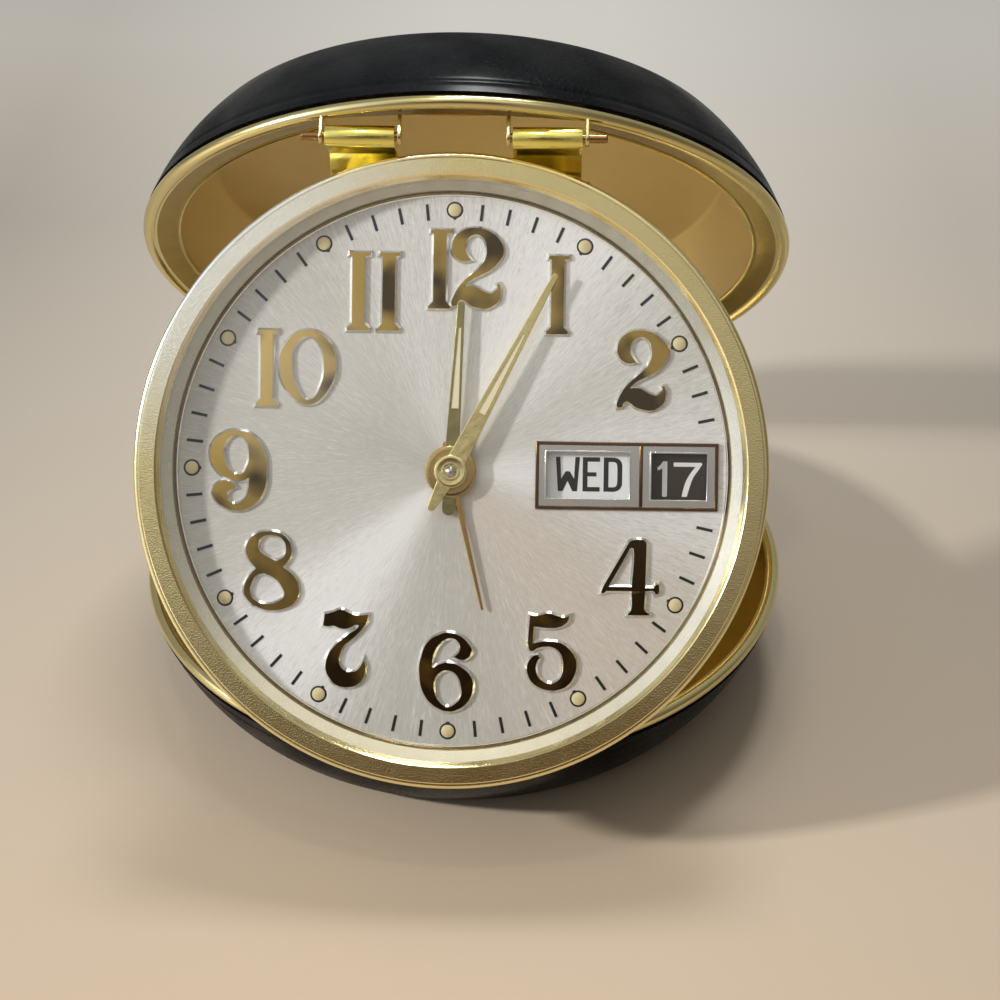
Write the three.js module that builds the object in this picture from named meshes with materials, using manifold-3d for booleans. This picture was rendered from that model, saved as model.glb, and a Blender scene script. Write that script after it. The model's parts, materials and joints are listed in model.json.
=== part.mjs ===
import * as THREE from "three";
import { mergeVertices } from "three/addons/utils/BufferGeometryUtils.js";
import loadManifold from "manifold-3d";

// Round folding travel alarm clock, opened and standing on a table. Sizes are in millimetres.
// The origin is the centre of the flat underside of the lower shell, X to the right, Y to the back, Z up.

const library = await loadManifold();
library.setup();

// Pose of the opened case
const openingAngle = THREE.MathUtils.degToRad(52.2);
const foldAngle = THREE.MathUtils.degToRad(71.2);

// Clearances
const gap = 0.3;
const runningGap = 0.25;
const cutOverrun = 1;

// Shells: radii from the axis, depths from the rim plane
const caseRadius = 40.3;
const beadRadius = 0.75;
const seamStep = 0.25;
const wallRadius = 29.3;
const wallStartTurn = THREE.MathUtils.degToRad(18);
const wallEndTurn = THREE.MathUtils.degToRad(42);
const cornerRadius = 3.3;
const cornerTurn = THREE.MathUtils.degToRad(72);
const domeRise = 0.9;
const restInset = 15.3;
const leatherThickness = 1.1;
const trayThickness = 0.4;
const flangeWidth = 4.6;
const flangeDrop = 0.35;
const flangeThickness = 0.45;
const flangeLip = 0.9;

// Case hinge
const hingeOffset = 1.2;
const hingeKnuckleRadius = 1.05;
const hingePinRadius = 0.5;
const hingeMiddleLength = 8.2;
const hingeOuterLength = 4.6;
const hingeWebThickness = 0.7;
const hingeWebDrop = 0.35;

// Straps that carry the clock: the upper pins are placed from the case's edge and the lower ones from
// the bezel's, and depths are measured from the clock's front plane
const strapSpacing = 20.4;
const strapWidth = 7.6;
const strapThickness = 0.7;
const strapKnuckleRadius = 1.2;
const strapPinRadius = 0.5;
const strapPinOverhang = 2;
const strapPinInset = 4;
const strapPinProud = 1.4;
const strapBendDepth = 2.8;
const lowerPinInset = 3.5;
const lowerPinDepth = 6.1;
const lowerPinOverhang = 0.4;
const lowerKnuckleRadius = 1;
const earThickness = 0.7;
const bracketWidth = 0.9;
const bracketThickness = 0.6;

// Clock head: depths are measured back from the front plane of the bezel
const clockProud = 0.4;
const bezelInset = 5.3;
const bezelRounding = 0.7;
const bezelBandWidth = 2.6;
const bezelWall = 1.2;
const bezelDepth = 3.7;
const bezelEdgeDepth = 2.2;
const bezelChamfer = 0.8;
const lipThickness = 0.7;
const lipSlope = 0.3;
const crystalThickness = 0.8;
const crystalCrown = 0.25;
const crystalSag = 1.3;
const ringWidth = 3.2;
const ringDepth = 2.2;
const ringThickness = 0.1;
const ringSlope = 0.35;
const ringShoulder = 1.1;
const dialDepth = 3;
const dialThickness = 0.4;
const dialBore = 2;
const discThickness = 0.3;
const dayDiscBore = 3.5;
const dateDiscWidth = 7.7;
const drumInset = 6.1;
const drumWall = 0.6;
const drumFlangeInset = 1.7;
const drumFlangeThickness = 0.4;
const drumDepth = 8.2;
const backCoverThickness = 0.6;

// Calendar frame, placed from the edge of the dial that shows
const frameInset = 1.04;
const frameWidth = 20;
const frameHeight = 7.5;
const frameDrop = 0.25;
const frameProud = 0.22;
const frameThickness = 0.42;
const dayWindowInset = 1.2;
const dayWindowWidth = 9.1;
const windowSpacing = 2.4;
const dateWindowWidth = 6.1;
const windowHeight = 5.1;

// Hands: each is shorter than the one in front of it, and the minute hand stops short of the reflector ring
const postRadius = 0.7;
const postTopDepth = 1.3;
const minuteHandDepth = 1.5;
const minuteHandInset = 6.1;
const minuteHandTail = 4.9;
const minuteHandWidth = 2.1;
const minuteHubRadius = 2.1;
const hourHandDepth = 1.97;
const hourHandInset = 5.4;
const hourHandTail = 5;
const hourHandWidth = 2.3;
const hourHubRadius = 3;
const alarmHandDepth = 2.42;
const alarmHandInset = 3;
const alarmHandTail = 3.4;
const alarmHandWidth = 0.8;
const alarmHubRadius = 1.9;
const handThickness = 0.22;
const minuteHandAngle = THREE.MathUtils.degToRad(-27.4);
const hourHandAngle = THREE.MathUtils.degToRad(-2.8);
const alarmHandAngle = THREE.MathUtils.degToRad(-166.5);

// Movement
const plateInset = 1.3;
const plateThickness = 0.4;
const plateSpacing = 2.1;
const pillarRadius = 1.2;
const pillarInset = 3.1;
const pillarCount = 4;
const barrelRadius = 7;
const balanceRadius = 6;
const balanceRim = 0.9;
const balanceStaffRadius = 0.6;
const balanceHeight = 16;
const balanceThickness = 0.5;

// Back of the clock: places from its centre
const keySpacing = 23;
const keyDrop = 7;
const keyHubRadius = 1.9;
const keyHubHeight = 1;
const keyWingRadius = 5.6;
const keyWingThickness = 0.9;
const keyWingHeight = 1.9;
const knobSpacing = 15;
const knobRise = 9;
const knobRadius = 3.3;
const knobHeight = 2.1;
const knobFluteCount = 12;
const knobFluteDepth = 0.2;
const arborRadius = 0.8;
const buttonTravel = 0.6;
const buttonRadius = 1.8;
const buttonHeight = 1.3;
const stopButtonRise = 19.5;
const calendarButtonRise = 12;
const calendarButtonShift = 18;
const regulatorDrop = 19;
const regulatorLength = 5;
const regulatorHubRadius = 1.5;
const regulatorThickness = 0.4;

// Roundness of the meshes
const caseSegments = 48;
const traySegments = 36;
const clockSegments = 48;
const innerSegments = 32;
const smallSegments = 14;
const wallSteps = 4;
const cornerSteps = 2;
const domeSteps = 2;
const beadSteps = 8;
const crownSteps = 3;
const roundingSteps = 3;

// Sizes worked out from the ones above
const leatherRadius = caseRadius - seamStep;
const seamDepth = 2 * beadRadius + gap;
const wallCentre = leatherRadius - wallRadius * Math.cos(wallStartTurn);
const wallCentreDepth = seamDepth - wallRadius * Math.sin(wallStartTurn);
const cornerCentre = wallCentre + (wallRadius - cornerRadius) * Math.cos(wallEndTurn);
const cornerCentreDepth = wallCentreDepth + (wallRadius - cornerRadius) * Math.sin(wallEndTurn);
const shellDepth = cornerCentreDepth + cornerRadius * Math.sin(cornerTurn) + domeRise;
const trayInset = leatherThickness + gap;
const restRadius = caseRadius - restInset;
const flangeInnerRadius = caseRadius - flangeWidth;
const hingeY = caseRadius + hingeOffset;
const hingeHalfLength = hingeMiddleLength / 2 + runningGap + hingeOuterLength;
const strapX = strapSpacing / 2;
const strapPinHeight = caseRadius - strapPinInset;
const strapLeafHeight = strapPinHeight - strapKnuckleRadius + strapThickness / 2;
const strapOpeningX = strapX + strapWidth / 2 + runningGap;
const strapOpeningReach = strapLeafHeight + strapThickness / 2 + gap;
const strapEarOffset = strapWidth / 2 + runningGap + earThickness / 2;
const boreGap = gap;
const bezelRadius = caseRadius - bezelInset;
const lowerPinHeight = bezelRadius - lowerPinInset;
const bezelInnerRadius = bezelRadius - bezelWall;
const lipInnerRadius = bezelRadius - bezelBandWidth;
const crystalRadius = bezelInnerRadius - gap;
const ringInnerRadius = crystalRadius - ringWidth;
const frameLeft = ringInnerRadius - frameInset - frameWidth;
const dayWindowLeft = frameLeft + dayWindowInset;
const dateWindowLeft = dayWindowLeft + dayWindowWidth + windowSpacing;
const minuteHandLength = ringInnerRadius - minuteHandInset;
const hourHandLength = minuteHandLength - hourHandInset;
const alarmHandLength = hourHandLength - alarmHandInset;
const discDepth = dialDepth + dialThickness + gap;
const drumInnerRadius = bezelRadius - drumInset;
const dateDiscRadius = drumInnerRadius - gap;
const dateDiscBore = dateDiscRadius - dateDiscWidth;
const dayDiscRadius = dateDiscBore - 2 * gap;
const plateRadius = drumInnerRadius - plateInset;
const pillarCircle = plateRadius - pillarInset;
const drumRadius = drumInnerRadius + drumWall;
const drumFlangeDepth = bezelDepth;
const frontPlateDepth = discDepth + discThickness + gap;
const backPlateDepth = frontPlateDepth + plateThickness + plateSpacing;
const backCoverDepth = drumDepth - backCoverThickness;
const headDepth = drumDepth + gap;
const keyX = keySpacing / 2;
const knobX = knobSpacing / 2;

// Metals and other finishes
const finishes = {
  leather: new THREE.MeshStandardMaterial({ color: 0x17181c, roughness: 0.45, metalness: 0 }),
  gold: new THREE.MeshStandardMaterial({ color: 0xd2a83e, roughness: 0.18, metalness: 1 }),
  tan: new THREE.MeshStandardMaterial({ color: 0xb08f57, roughness: 0.5, metalness: 0.8 }),
  champagne: new THREE.MeshStandardMaterial({ color: 0xcbbf92, roughness: 0.28, metalness: 1 }),
  silver: new THREE.MeshStandardMaterial({ color: 0xd2d0cc, roughness: 0.35, metalness: 1 }),
  steel: new THREE.MeshStandardMaterial({ color: 0x8d8f92, roughness: 0.3, metalness: 1 }),
  brass: new THREE.MeshStandardMaterial({ color: 0xb7924a, roughness: 0.35, metalness: 1 }),
  crystal: new THREE.MeshStandardMaterial({ color: 0xf4f6f6, roughness: 0.05, opacity: 0.2 }),
  paper: new THREE.MeshStandardMaterial({ color: 0xf1f0ea, roughness: 0.6 }),
  ink: new THREE.MeshStandardMaterial({ color: 0x101010, roughness: 0.6 }),
};

// Turns a geometry into a closed index of positions only, without triangles that have lost their area.
function closed(geometry) {
  const bare = geometry.index ? geometry.toNonIndexed() : geometry.clone();
  bare.deleteAttribute("normal");
  bare.deleteAttribute("uv");
  const merged = mergeVertices(bare, 1e-5);
  const kept = [];
  for (let i = 0; i < merged.index.count; i += 3) {
    const [a, b, c] = [merged.index.getX(i), merged.index.getX(i + 1), merged.index.getX(i + 2)];
    if (a !== b && b !== c && c !== a) kept.push(a, b, c);
  }
  merged.setIndex(kept);
  return signedVolume(merged) < 0 ? flipped(merged) : merged;
}

function signedVolume(geometry) {
  const [a, b, c] = [new THREE.Vector3(), new THREE.Vector3(), new THREE.Vector3()];
  let sum = 0;
  for (let i = 0; i < geometry.index.count; i += 3) {
    a.fromBufferAttribute(geometry.attributes.position, geometry.index.getX(i));
    b.fromBufferAttribute(geometry.attributes.position, geometry.index.getX(i + 1));
    c.fromBufferAttribute(geometry.attributes.position, geometry.index.getX(i + 2));
    sum += a.dot(b.cross(c));
  }
  return sum;
}

function flipped(geometry) {
  const index = Array.from(geometry.index.array);
  for (let i = 0; i < index.length; i += 3) [index[i], index[i + 1]] = [index[i + 1], index[i]];
  geometry.setIndex(index);
  return geometry;
}

function toSolid(geometry) {
  const shape = closed(geometry);
  const vertProperties = new Float32Array(shape.attributes.position.array);
  const triVerts = new Uint32Array(shape.index.array);
  return new library.Manifold(new library.Mesh({ numProp: 3, vertProperties, triVerts }));
}

function fromSolid(solid) {
  const mesh = solid.getMesh();
  const geometry = new THREE.BufferGeometry();
  geometry.setAttribute("position", new THREE.BufferAttribute(new Float32Array(mesh.vertProperties), 3));
  geometry.setIndex(Array.from(mesh.triVerts));
  return geometry;
}

function joined(...geometries) {
  return fromSolid(geometries.map(toSolid).reduce((sum, next) => sum.add(next)));
}

function cut(body, ...tools) {
  return fromSolid(tools.map(toSolid).reduce((rest, tool) => rest.subtract(tool), toSolid(body)));
}

// Turns a profile of [radius, height] pairs about the Z axis.
function turned(profile, segments) {
  const points = profile.map(([radius, height]) => new THREE.Vector2(radius, height));
  return closed(new THREE.LatheGeometry(points, segments).rotateX(Math.PI / 2));
}

// A flat ring or disc between two heights. A bore of zero gives a full disc.
function disc(radius, bore, bottom, top, segments = clockSegments) {
  if (bore > 0) {
    return turned([[bore, bottom], [radius, bottom], [radius, top], [bore, top], [bore, bottom]], segments);
  }
  return turned([[0, bottom], [radius, bottom], [radius, top], [0, top]], segments);
}

function slab(shape, bottom, top) {
  const geometry = new THREE.ExtrudeGeometry(shape, { depth: top - bottom, bevelEnabled: false });
  return closed(geometry.translate(0, 0, bottom));
}

// A block between two corners.
function block(low, high) {
  const size = high.map((value, i) => value - low[i]);
  const middle = high.map((value, i) => (value + low[i]) / 2);
  return closed(new THREE.BoxGeometry(...size).translate(...middle));
}

// A cylinder along X, between two places on it, at height y and depth z.
function crossRod(radius, from, to, y, z, segments = smallSegments) {
  const geometry = new THREE.CylinderGeometry(radius, radius, to - from, segments).rotateZ(Math.PI / 2);
  return closed(geometry.translate((from + to) / 2, y, z));
}

// An outline in the Y-Z plane, extruded along X between two places.
function sideSlab(shape, from, to) {
  const geometry = new THREE.ExtrudeGeometry(shape, { depth: to - from, bevelEnabled: false });
  const axes = [new THREE.Vector3(0, 1, 0), new THREE.Vector3(0, 0, 1), new THREE.Vector3(1, 0, 0)];
  return closed(geometry.applyMatrix4(new THREE.Matrix4().makeBasis(...axes)).translate(from, 0, 0));
}

function outline(pairs) {
  return new THREE.Shape(pairs.map(([x, y]) => new THREE.Vector2(x, y)));
}

function piece(name, geometry, finish) {
  const mesh = new THREE.Mesh(geometry, finishes[finish]);
  mesh.name = name;
  mesh.geometry.computeVertexNormals();
  return mesh;
}

// Shells. They are drawn with the rim plane at height 0, the opening up and the hinge towards +Y.

// Points on an arc about a centre at a depth, the turns measured down from the horizontal.
function wallArc(centre, centreDepth, radius, startTurn, endTurn, steps) {
  const points = [];
  for (let i = 0; i <= steps; i += 1) {
    const turn = startTurn + (endTurn - startTurn) * i / steps;
    points.push([centre + radius * Math.cos(turn), -centreDepth - radius * Math.sin(turn)]);
  }
  return points;
}

// The shell's outside, moved in by an inset: down the curved wall, round the corner and over the floor.
function shellOutline(inset) {
  const wall = wallRadius - inset;
  const startTurn = Math.asin((seamDepth - wallCentreDepth) / wall);
  const points = wallArc(wallCentre, wallCentreDepth, wall, startTurn, wallEndTurn, wallSteps);
  const corner = cornerRadius - inset;
  const round = wallArc(cornerCentre, cornerCentreDepth, corner, wallEndTurn, cornerTurn, cornerSteps);
  points.push(...round.slice(1));
  const [endRadius, endHeight] = points[points.length - 1];
  const floor = inset - shellDepth;
  for (let i = 1; i <= domeSteps; i += 1) {
    const share = i / domeSteps;
    const radius = endRadius + (restRadius - endRadius) * share;
    points.push([radius, endHeight + (floor - endHeight) * (1 - (1 - share) ** 2)]);
  }
  points.push([0, floor]);
  return points;
}

function shellLayer(outerInset, innerInset, segments) {
  const outer = shellOutline(outerInset).reverse();
  return turned([...outer, ...shellOutline(innerInset)], segments);
}

// The rim is a rolled bead with a flat flange inside it that ends in a small turned-down lip.
function rimRing() {
  const centre = caseRadius - beadRadius;
  const start = Math.PI - Math.asin((beadRadius - flangeDrop) / beadRadius);
  const end = -Math.PI - Math.asin((beadRadius - flangeDrop - flangeThickness) / beadRadius);
  const bead = [];
  for (let i = 0; i <= beadSteps; i += 1) {
    const angle = start + (end - start) * i / beadSteps;
    bead.push([centre + beadRadius * Math.cos(angle), beadRadius * (Math.sin(angle) - 1)]);
  }
  const under = -flangeDrop - flangeThickness;
  const lip = flangeInnerRadius + flangeThickness;
  const profile = [
    [flangeInnerRadius, -flangeDrop],
    ...bead,
    [lip, under],
    [lip, -flangeDrop - flangeLip],
    [flangeInnerRadius, -flangeDrop - flangeLip],
    [flangeInnerRadius, -flangeDrop],
  ];
  return turned(profile, caseSegments);
}

// An opening at the front of the flange lets both straps swing past it, down to a depth and out to a reach.
function strapOpening(depth, reach) {
  return block([-strapOpeningX, -reach, -depth], [strapOpeningX, -flangeInnerRadius / 2, cutOverrun]);
}

function notchedRim() {
  return cut(rimRing(), strapOpening(seamDepth, strapOpeningReach));
}

// A knuckle of the case hinge with the web that ties it to the bead, between two places along X.
function hingeKnuckle(from, to) {
  const barrel = crossRod(hingeKnuckleRadius, from, to, hingeY, 0);
  const farEdge = Math.max(Math.abs(from), Math.abs(to));
  const webStart = Math.sqrt((caseRadius - beadRadius) ** 2 - farEdge ** 2);
  const top = -hingeWebDrop;
  return joined(barrel, block([from, webStart, top - hingeWebThickness], [to, hingeY, top]));
}

function hingeBore() {
  const reach = hingeHalfLength + cutOverrun;
  return crossRod(hingePinRadius + runningGap, -reach, reach, hingeY, 0);
}

// An ear that stands on the front of the flange and holds a strap pin.
function strapEar(x) {
  const base = -flangeDrop - flangeThickness / 2;
  const pinHeight = strapPinProud + clockProud;
  const post = [
    [-strapPinHeight - strapKnuckleRadius, base],
    [-strapPinHeight + strapKnuckleRadius, base],
    [-strapPinHeight + strapKnuckleRadius, pinHeight],
    [-strapPinHeight - strapKnuckleRadius, pinHeight],
  ];
  const [from, to] = [x - earThickness / 2, x + earThickness / 2];
  const head = crossRod(strapKnuckleRadius, from, to, -strapPinHeight, pinHeight);
  return joined(sideSlab(outline(post), from, to), head);
}

function strapPinBore() {
  const reach = strapX + strapEarOffset + strapPinOverhang;
  const pinHeight = strapPinProud + clockProud;
  return crossRod(strapPinRadius + boreGap, -reach, reach, -strapPinHeight, pinHeight);
}

function lowerRim() {
  const start = hingeMiddleLength / 2 + runningGap;
  const knuckles = [-1, 1].map((side) => {
    const ends = [side * start, side * hingeHalfLength].sort((a, b) => a - b);
    return hingeKnuckle(...ends);
  });
  return cut(joined(notchedRim(), ...knuckles), hingeBore());
}

function upperRim() {
  const places = [-1, 1].flatMap((side) => [-1, 1].map((edge) => side * strapX + edge * strapEarOffset));
  const ears = places.map(strapEar);
  const knuckle = hingeKnuckle(-hingeMiddleLength / 2, hingeMiddleLength / 2);
  const body = joined(notchedRim(), knuckle, ...ears);
  return cut(body, hingeBore(), strapPinBore());
}

function shellTray() {
  return shellLayer(trayInset, trayInset + trayThickness, traySegments);
}

// The tray of the upper shell is nicked where the bends of the folded straps come close to its wall.
function nickedTray() {
  const depth = strapBendDepth + strapThickness + gap;
  return cut(shellTray(), strapOpening(depth, strapOpeningReach + gap));
}

function shellPieces(prefix, rim, tray) {
  return [
    piece(`${prefix}_leather_cover`, shellLayer(0, leatherThickness, caseSegments), "leather"),
    piece(`${prefix}_tray`, tray, "tan"),
    piece(`${prefix}_rim`, rim, "gold"),
  ];
}

// Straps and their pins, in the clock's frame: X right, Y to twelve o'clock, Z out of the face.

// The outline of a bent strip of even thickness along a middle line.
function stripOutline(line, thickness) {
  const sides = [1, -1].map((side) => line.map((point, i) => {
    const before = line[Math.max(i - 1, 0)];
    const after = line[Math.min(i + 1, line.length - 1)];
    const back = new THREE.Vector2(point[0] - before[0], point[1] - before[1]).normalize();
    const ahead = new THREE.Vector2(after[0] - point[0], after[1] - point[1]).normalize();
    const along = back.clone().add(ahead).normalize();
    const bend = Math.max(along.dot(i > 0 ? back : ahead), 1 / 2);
    const reach = side * thickness / 2 / bend;
    return [point[0] - along.y * reach, point[1] + along.x * reach];
  }));
  return outline([...sides[0], ...sides[1].reverse()]);
}

function strap(side) {
  const [from, to] = [side * strapX - strapWidth / 2, side * strapX + strapWidth / 2];
  const bend = [strapLeafHeight, -strapBendDepth];
  const line = [[strapLeafHeight, strapPinProud], bend, [lowerPinHeight, -lowerPinDepth]];
  const leaf = sideSlab(stripOutline(line, strapThickness), from, to);
  const upper = crossRod(strapKnuckleRadius, from, to, strapPinHeight, strapPinProud);
  const lower = crossRod(lowerKnuckleRadius, from, to, lowerPinHeight, -lowerPinDepth);
  const [start, end] = [from - cutOverrun, to + cutOverrun];
  const upperBore = crossRod(strapPinRadius + boreGap, start, end, strapPinHeight, strapPinProud);
  const lowerBore = crossRod(strapPinRadius + runningGap, start, end, lowerPinHeight, -lowerPinDepth);
  return cut(joined(leaf, upper, lower), upperBore, lowerBore);
}

// A pin through one strap. Its outer end stands out past the ear by an overhang.
function strapPin(side, height, depth, overhang) {
  const inner = side * (strapX - strapEarOffset - earThickness / 2);
  const outer = side * (strapX + strapEarOffset + earThickness / 2 + overhang);
  return crossRod(strapPinRadius, Math.min(inner, outer), Math.max(inner, outer), height, -depth);
}

// A bracket behind the drum's flange: a strip with two ears that hold the lower strap pin.
function strapBracket(side) {
  const top = -drumFlangeDepth - drumFlangeThickness - gap;
  const low = drumRadius + gap;
  const high = low + bracketWidth;
  const reach = strapEarOffset + earThickness / 2;
  const [from, to] = [side * strapX - reach, side * strapX + reach];
  const strip = block([from, low, top - bracketThickness], [to, high, top]);
  const ears = [-1, 1].map((edge) => {
    const x = side * strapX + edge * strapEarOffset;
    const [earStart, earEnd] = [x - earThickness / 2, x + earThickness / 2];
    const arm = outline([
      [low, top],
      [low, top - bracketThickness],
      [lowerPinHeight - lowerKnuckleRadius, -lowerPinDepth],
      [lowerPinHeight, -lowerPinDepth + lowerKnuckleRadius],
      [high, top],
    ]);
    const head = crossRod(strapKnuckleRadius, earStart, earEnd, lowerPinHeight, -lowerPinDepth);
    return joined(sideSlab(arm, earStart, earEnd), head);
  });
  const [start, end] = [from - cutOverrun, to + cutOverrun];
  const bore = crossRod(strapPinRadius + runningGap, start, end, lowerPinHeight, -lowerPinDepth);
  return cut(joined(strip, ...ears), bore);
}

// Clock head

function bezelRing() {
  const corner = [];
  for (let i = 0; i <= roundingSteps; i += 1) {
    const angle = Math.PI / 2 * (1 - i / roundingSteps);
    const centre = bezelRadius - bezelRounding;
    corner.push([centre + bezelRounding * Math.cos(angle), bezelRounding * (Math.sin(angle) - 1)]);
  }
  const profile = [
    [lipInnerRadius, -lipThickness / 4],
    ...corner,
    [bezelRadius, -bezelEdgeDepth],
    [bezelRadius - bezelChamfer, -bezelDepth],
    [bezelInnerRadius, -bezelDepth],
    [bezelInnerRadius, -lipThickness],
    [lipInnerRadius - lipSlope, -lipThickness],
    [lipInnerRadius, -lipThickness / 4],
  ];
  return turned(profile, clockSegments);
}

function crystalDisc() {
  const crown = (radius) => crystalCrown - crystalSag * (radius / crystalRadius) ** 2;
  const top = [];
  for (let i = 0; i <= crownSteps; i += 1) {
    const radius = crystalRadius * i / crownSteps;
    top.push([radius, crown(radius)]);
  }
  const under = top.map(([radius, height]) => [radius, height - crystalThickness]);
  return turned([...under, ...top.reverse()], clockSegments);
}

function reflectorRing() {
  const foot = -ringDepth - ringSlope - ringThickness;
  const profile = [
    [crystalRadius, foot],
    [crystalRadius, -ringDepth],
    [crystalRadius - ringShoulder, -ringDepth],
    [ringInnerRadius, foot + ringThickness],
    [ringInnerRadius, foot],
    [crystalRadius, foot],
  ];
  return turned(profile, clockSegments);
}

function dialPlate() {
  const plate = disc(crystalRadius, dialBore, -dialDepth - dialThickness, -dialDepth);
  const low = [frameLeft - gap, -frameDrop - frameHeight / 2 - gap, -dialDepth - dialThickness - cutOverrun];
  const high = [frameLeft + frameWidth + gap, -frameDrop + frameHeight / 2 + gap, -dialDepth + cutOverrun];
  return cut(plate, block(low, high));
}

function calendarFrame() {
  const top = frameProud - dialDepth;
  const bottom = top - frameThickness;
  const plate = block(
    [frameLeft, -frameDrop - frameHeight / 2, bottom],
    [frameLeft + frameWidth, -frameDrop + frameHeight / 2, top],
  );
  const places = [[dayWindowLeft, dayWindowWidth], [dateWindowLeft, dateWindowWidth]];
  const windows = places.map(([left, width]) => block(
    [left, -frameDrop - windowHeight / 2, bottom - cutOverrun],
    [left + width, -frameDrop + windowHeight / 2, top + cutOverrun],
  ));
  return cut(plate, ...windows);
}

function clockDrum() {
  const flangeTop = -drumFlangeDepth;
  const flangeRadius = bezelRadius - drumFlangeInset;
  const profile = [
    [drumInnerRadius, flangeTop],
    [drumInnerRadius, -drumDepth],
    [drumRadius, -drumDepth],
    [drumRadius, flangeTop - drumFlangeThickness],
    [flangeRadius, flangeTop - drumFlangeThickness],
    [flangeRadius, flangeTop],
    [drumInnerRadius, flangeTop],
  ];
  return turned(profile, clockSegments);
}

// Places of everything that passes through the back cover.
const backPlaces = {
  timeKey: [-keyX, -keyDrop],
  alarmKey: [keyX, -keyDrop],
  timeKnob: [-knobX, knobRise],
  alarmKnob: [knobX, knobRise],
  stopButton: [0, stopButtonRise],
  calendarButton: [calendarButtonShift, calendarButtonRise],
  regulator: [0, -regulatorDrop],
};

function backCover() {
  const plate = disc(drumInnerRadius - gap, 0, -drumDepth, -backCoverDepth);
  const bores = Object.values(backPlaces).map(([x, y]) => {
    const [bottom, top] = [-drumDepth - cutOverrun, -backCoverDepth + cutOverrun];
    return disc(arborRadius + gap, 0, bottom, top, smallSegments).translate(x, y, 0);
  });
  return cut(plate, ...bores);
}

function handPost() {
  return disc(postRadius, 0, -frontPlateDepth + gap, -postTopDepth, smallSegments);
}

// Hands point to twelve o'clock and are turned afterwards. Each is a blade and a hub round the post.
function hand(length, tail, width, hubRadius, depth, angle) {
  const shoulder = hubRadius + width;
  const blade = outline([
    [-width / 4, -tail],
    [width / 4, -tail],
    [width / 3, 0],
    [width / 2, shoulder],
    [width / 5, length],
    [-width / 5, length],
    [-width / 2, shoulder],
    [-width / 3, 0],
  ]);
  const hub = disc(hubRadius, 0, -depth - handThickness, -depth, smallSegments);
  const bore = disc(postRadius + gap, 0, -depth - cutOverrun, -depth + cutOverrun, smallSegments);
  return cut(joined(slab(blade, -depth - handThickness, -depth), hub), bore).rotateZ(angle);
}

// Movement between its two plates

function pillar(index) {
  const angle = (index + 1 / 2) * 2 * Math.PI / pillarCount;
  const top = -frontPlateDepth - plateThickness - gap;
  const rod = disc(pillarRadius, 0, -backPlateDepth + gap, top, smallSegments);
  return rod.translate(pillarCircle * Math.cos(angle), pillarCircle * Math.sin(angle), 0);
}

function barrel([x, y]) {
  const top = -frontPlateDepth - plateThickness - gap;
  return disc(barrelRadius, 0, -backPlateDepth + gap, top, smallSegments).translate(x, y, 0);
}

function balanceWheel() {
  const middle = -(frontPlateDepth + plateThickness + backPlateDepth) / 2;
  const [bottom, top] = [middle - balanceThickness / 2, middle + balanceThickness / 2];
  const rim = disc(balanceRadius, balanceRadius - balanceRim, bottom, top, smallSegments);
  const reach = balanceRadius - balanceRim / 2;
  const arm = block([-reach, -balanceRim / 2, bottom], [reach, balanceRim / 2, top]);
  const staffTop = -frontPlateDepth - plateThickness - gap;
  const staff = disc(balanceStaffRadius, 0, -backPlateDepth + gap, staffTop, smallSegments);
  return joined(rim, arm, staff).translate(0, balanceHeight, 0);
}

// Controls on the back: each has an arbor through the cover

function arbor() {
  return disc(arborRadius, 0, -headDepth - cutOverrun / 2, -backCoverDepth, smallSegments);
}

function windingKey([x, y]) {
  const hubBottom = -headDepth - keyHubHeight;
  const hub = disc(keyHubRadius, 0, hubBottom, -headDepth, smallSegments);
  const wing = new THREE.Shape();
  const root = -headDepth - keyHubHeight / 2;
  const tip = hubBottom - keyWingHeight;
  wing.moveTo(-keyWingRadius, hubBottom);
  wing.quadraticCurveTo(-keyWingRadius, tip, -keyWingRadius / 2, tip);
  wing.quadraticCurveTo(0, tip, 0, hubBottom - keyWingHeight / 2);
  wing.quadraticCurveTo(0, tip, keyWingRadius / 2, tip);
  wing.quadraticCurveTo(keyWingRadius, tip, keyWingRadius, hubBottom);
  wing.lineTo(keyHubRadius, root);
  wing.lineTo(-keyHubRadius, root);
  const options = { depth: keyWingThickness, bevelEnabled: false, curveSegments: 6 };
  const blade = new THREE.ExtrudeGeometry(wing, options).rotateX(Math.PI / 2);
  const upright = blade.translate(0, keyWingThickness / 2, 0);
  return joined(hub, arbor(), upright).translate(x, y, 0);
}

function settingKnob([x, y]) {
  const rim = new THREE.Shape();
  const points = 4 * knobFluteCount;
  for (let i = 0; i < points; i += 1) {
    const angle = 2 * Math.PI * i / points;
    const radius = knobRadius - (i % 4 < 2 ? 0 : knobFluteDepth);
    rim[i ? "lineTo" : "moveTo"](radius * Math.cos(angle), radius * Math.sin(angle));
  }
  return joined(slab(rim, -headDepth - knobHeight, -headDepth), arbor()).translate(x, y, 0);
}

// A push button stands clear of the cover by its travel.
function pushButton([x, y]) {
  const top = -headDepth - buttonTravel;
  const head = disc(buttonRadius, 0, top - buttonHeight, top, smallSegments);
  const stemTop = -backCoverDepth - backCoverThickness / 2;
  const stem = disc(arborRadius, 0, top - buttonHeight / 2, stemTop, smallSegments);
  return joined(head, stem).translate(x, y, 0);
}

function regulatorLever([x, y]) {
  const [bottom, top] = [-headDepth - regulatorThickness, -headDepth];
  const hub = disc(regulatorHubRadius, 0, bottom, top, smallSegments);
  const width = regulatorHubRadius / 2;
  const arm = block([-width / 2, 0, bottom], [width / 2, regulatorLength, top]);
  const stem = disc(arborRadius, 0, bottom + regulatorThickness / 2, -backCoverDepth, smallSegments);
  return joined(hub, arm, stem).translate(x, y, 0);
}

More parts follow.
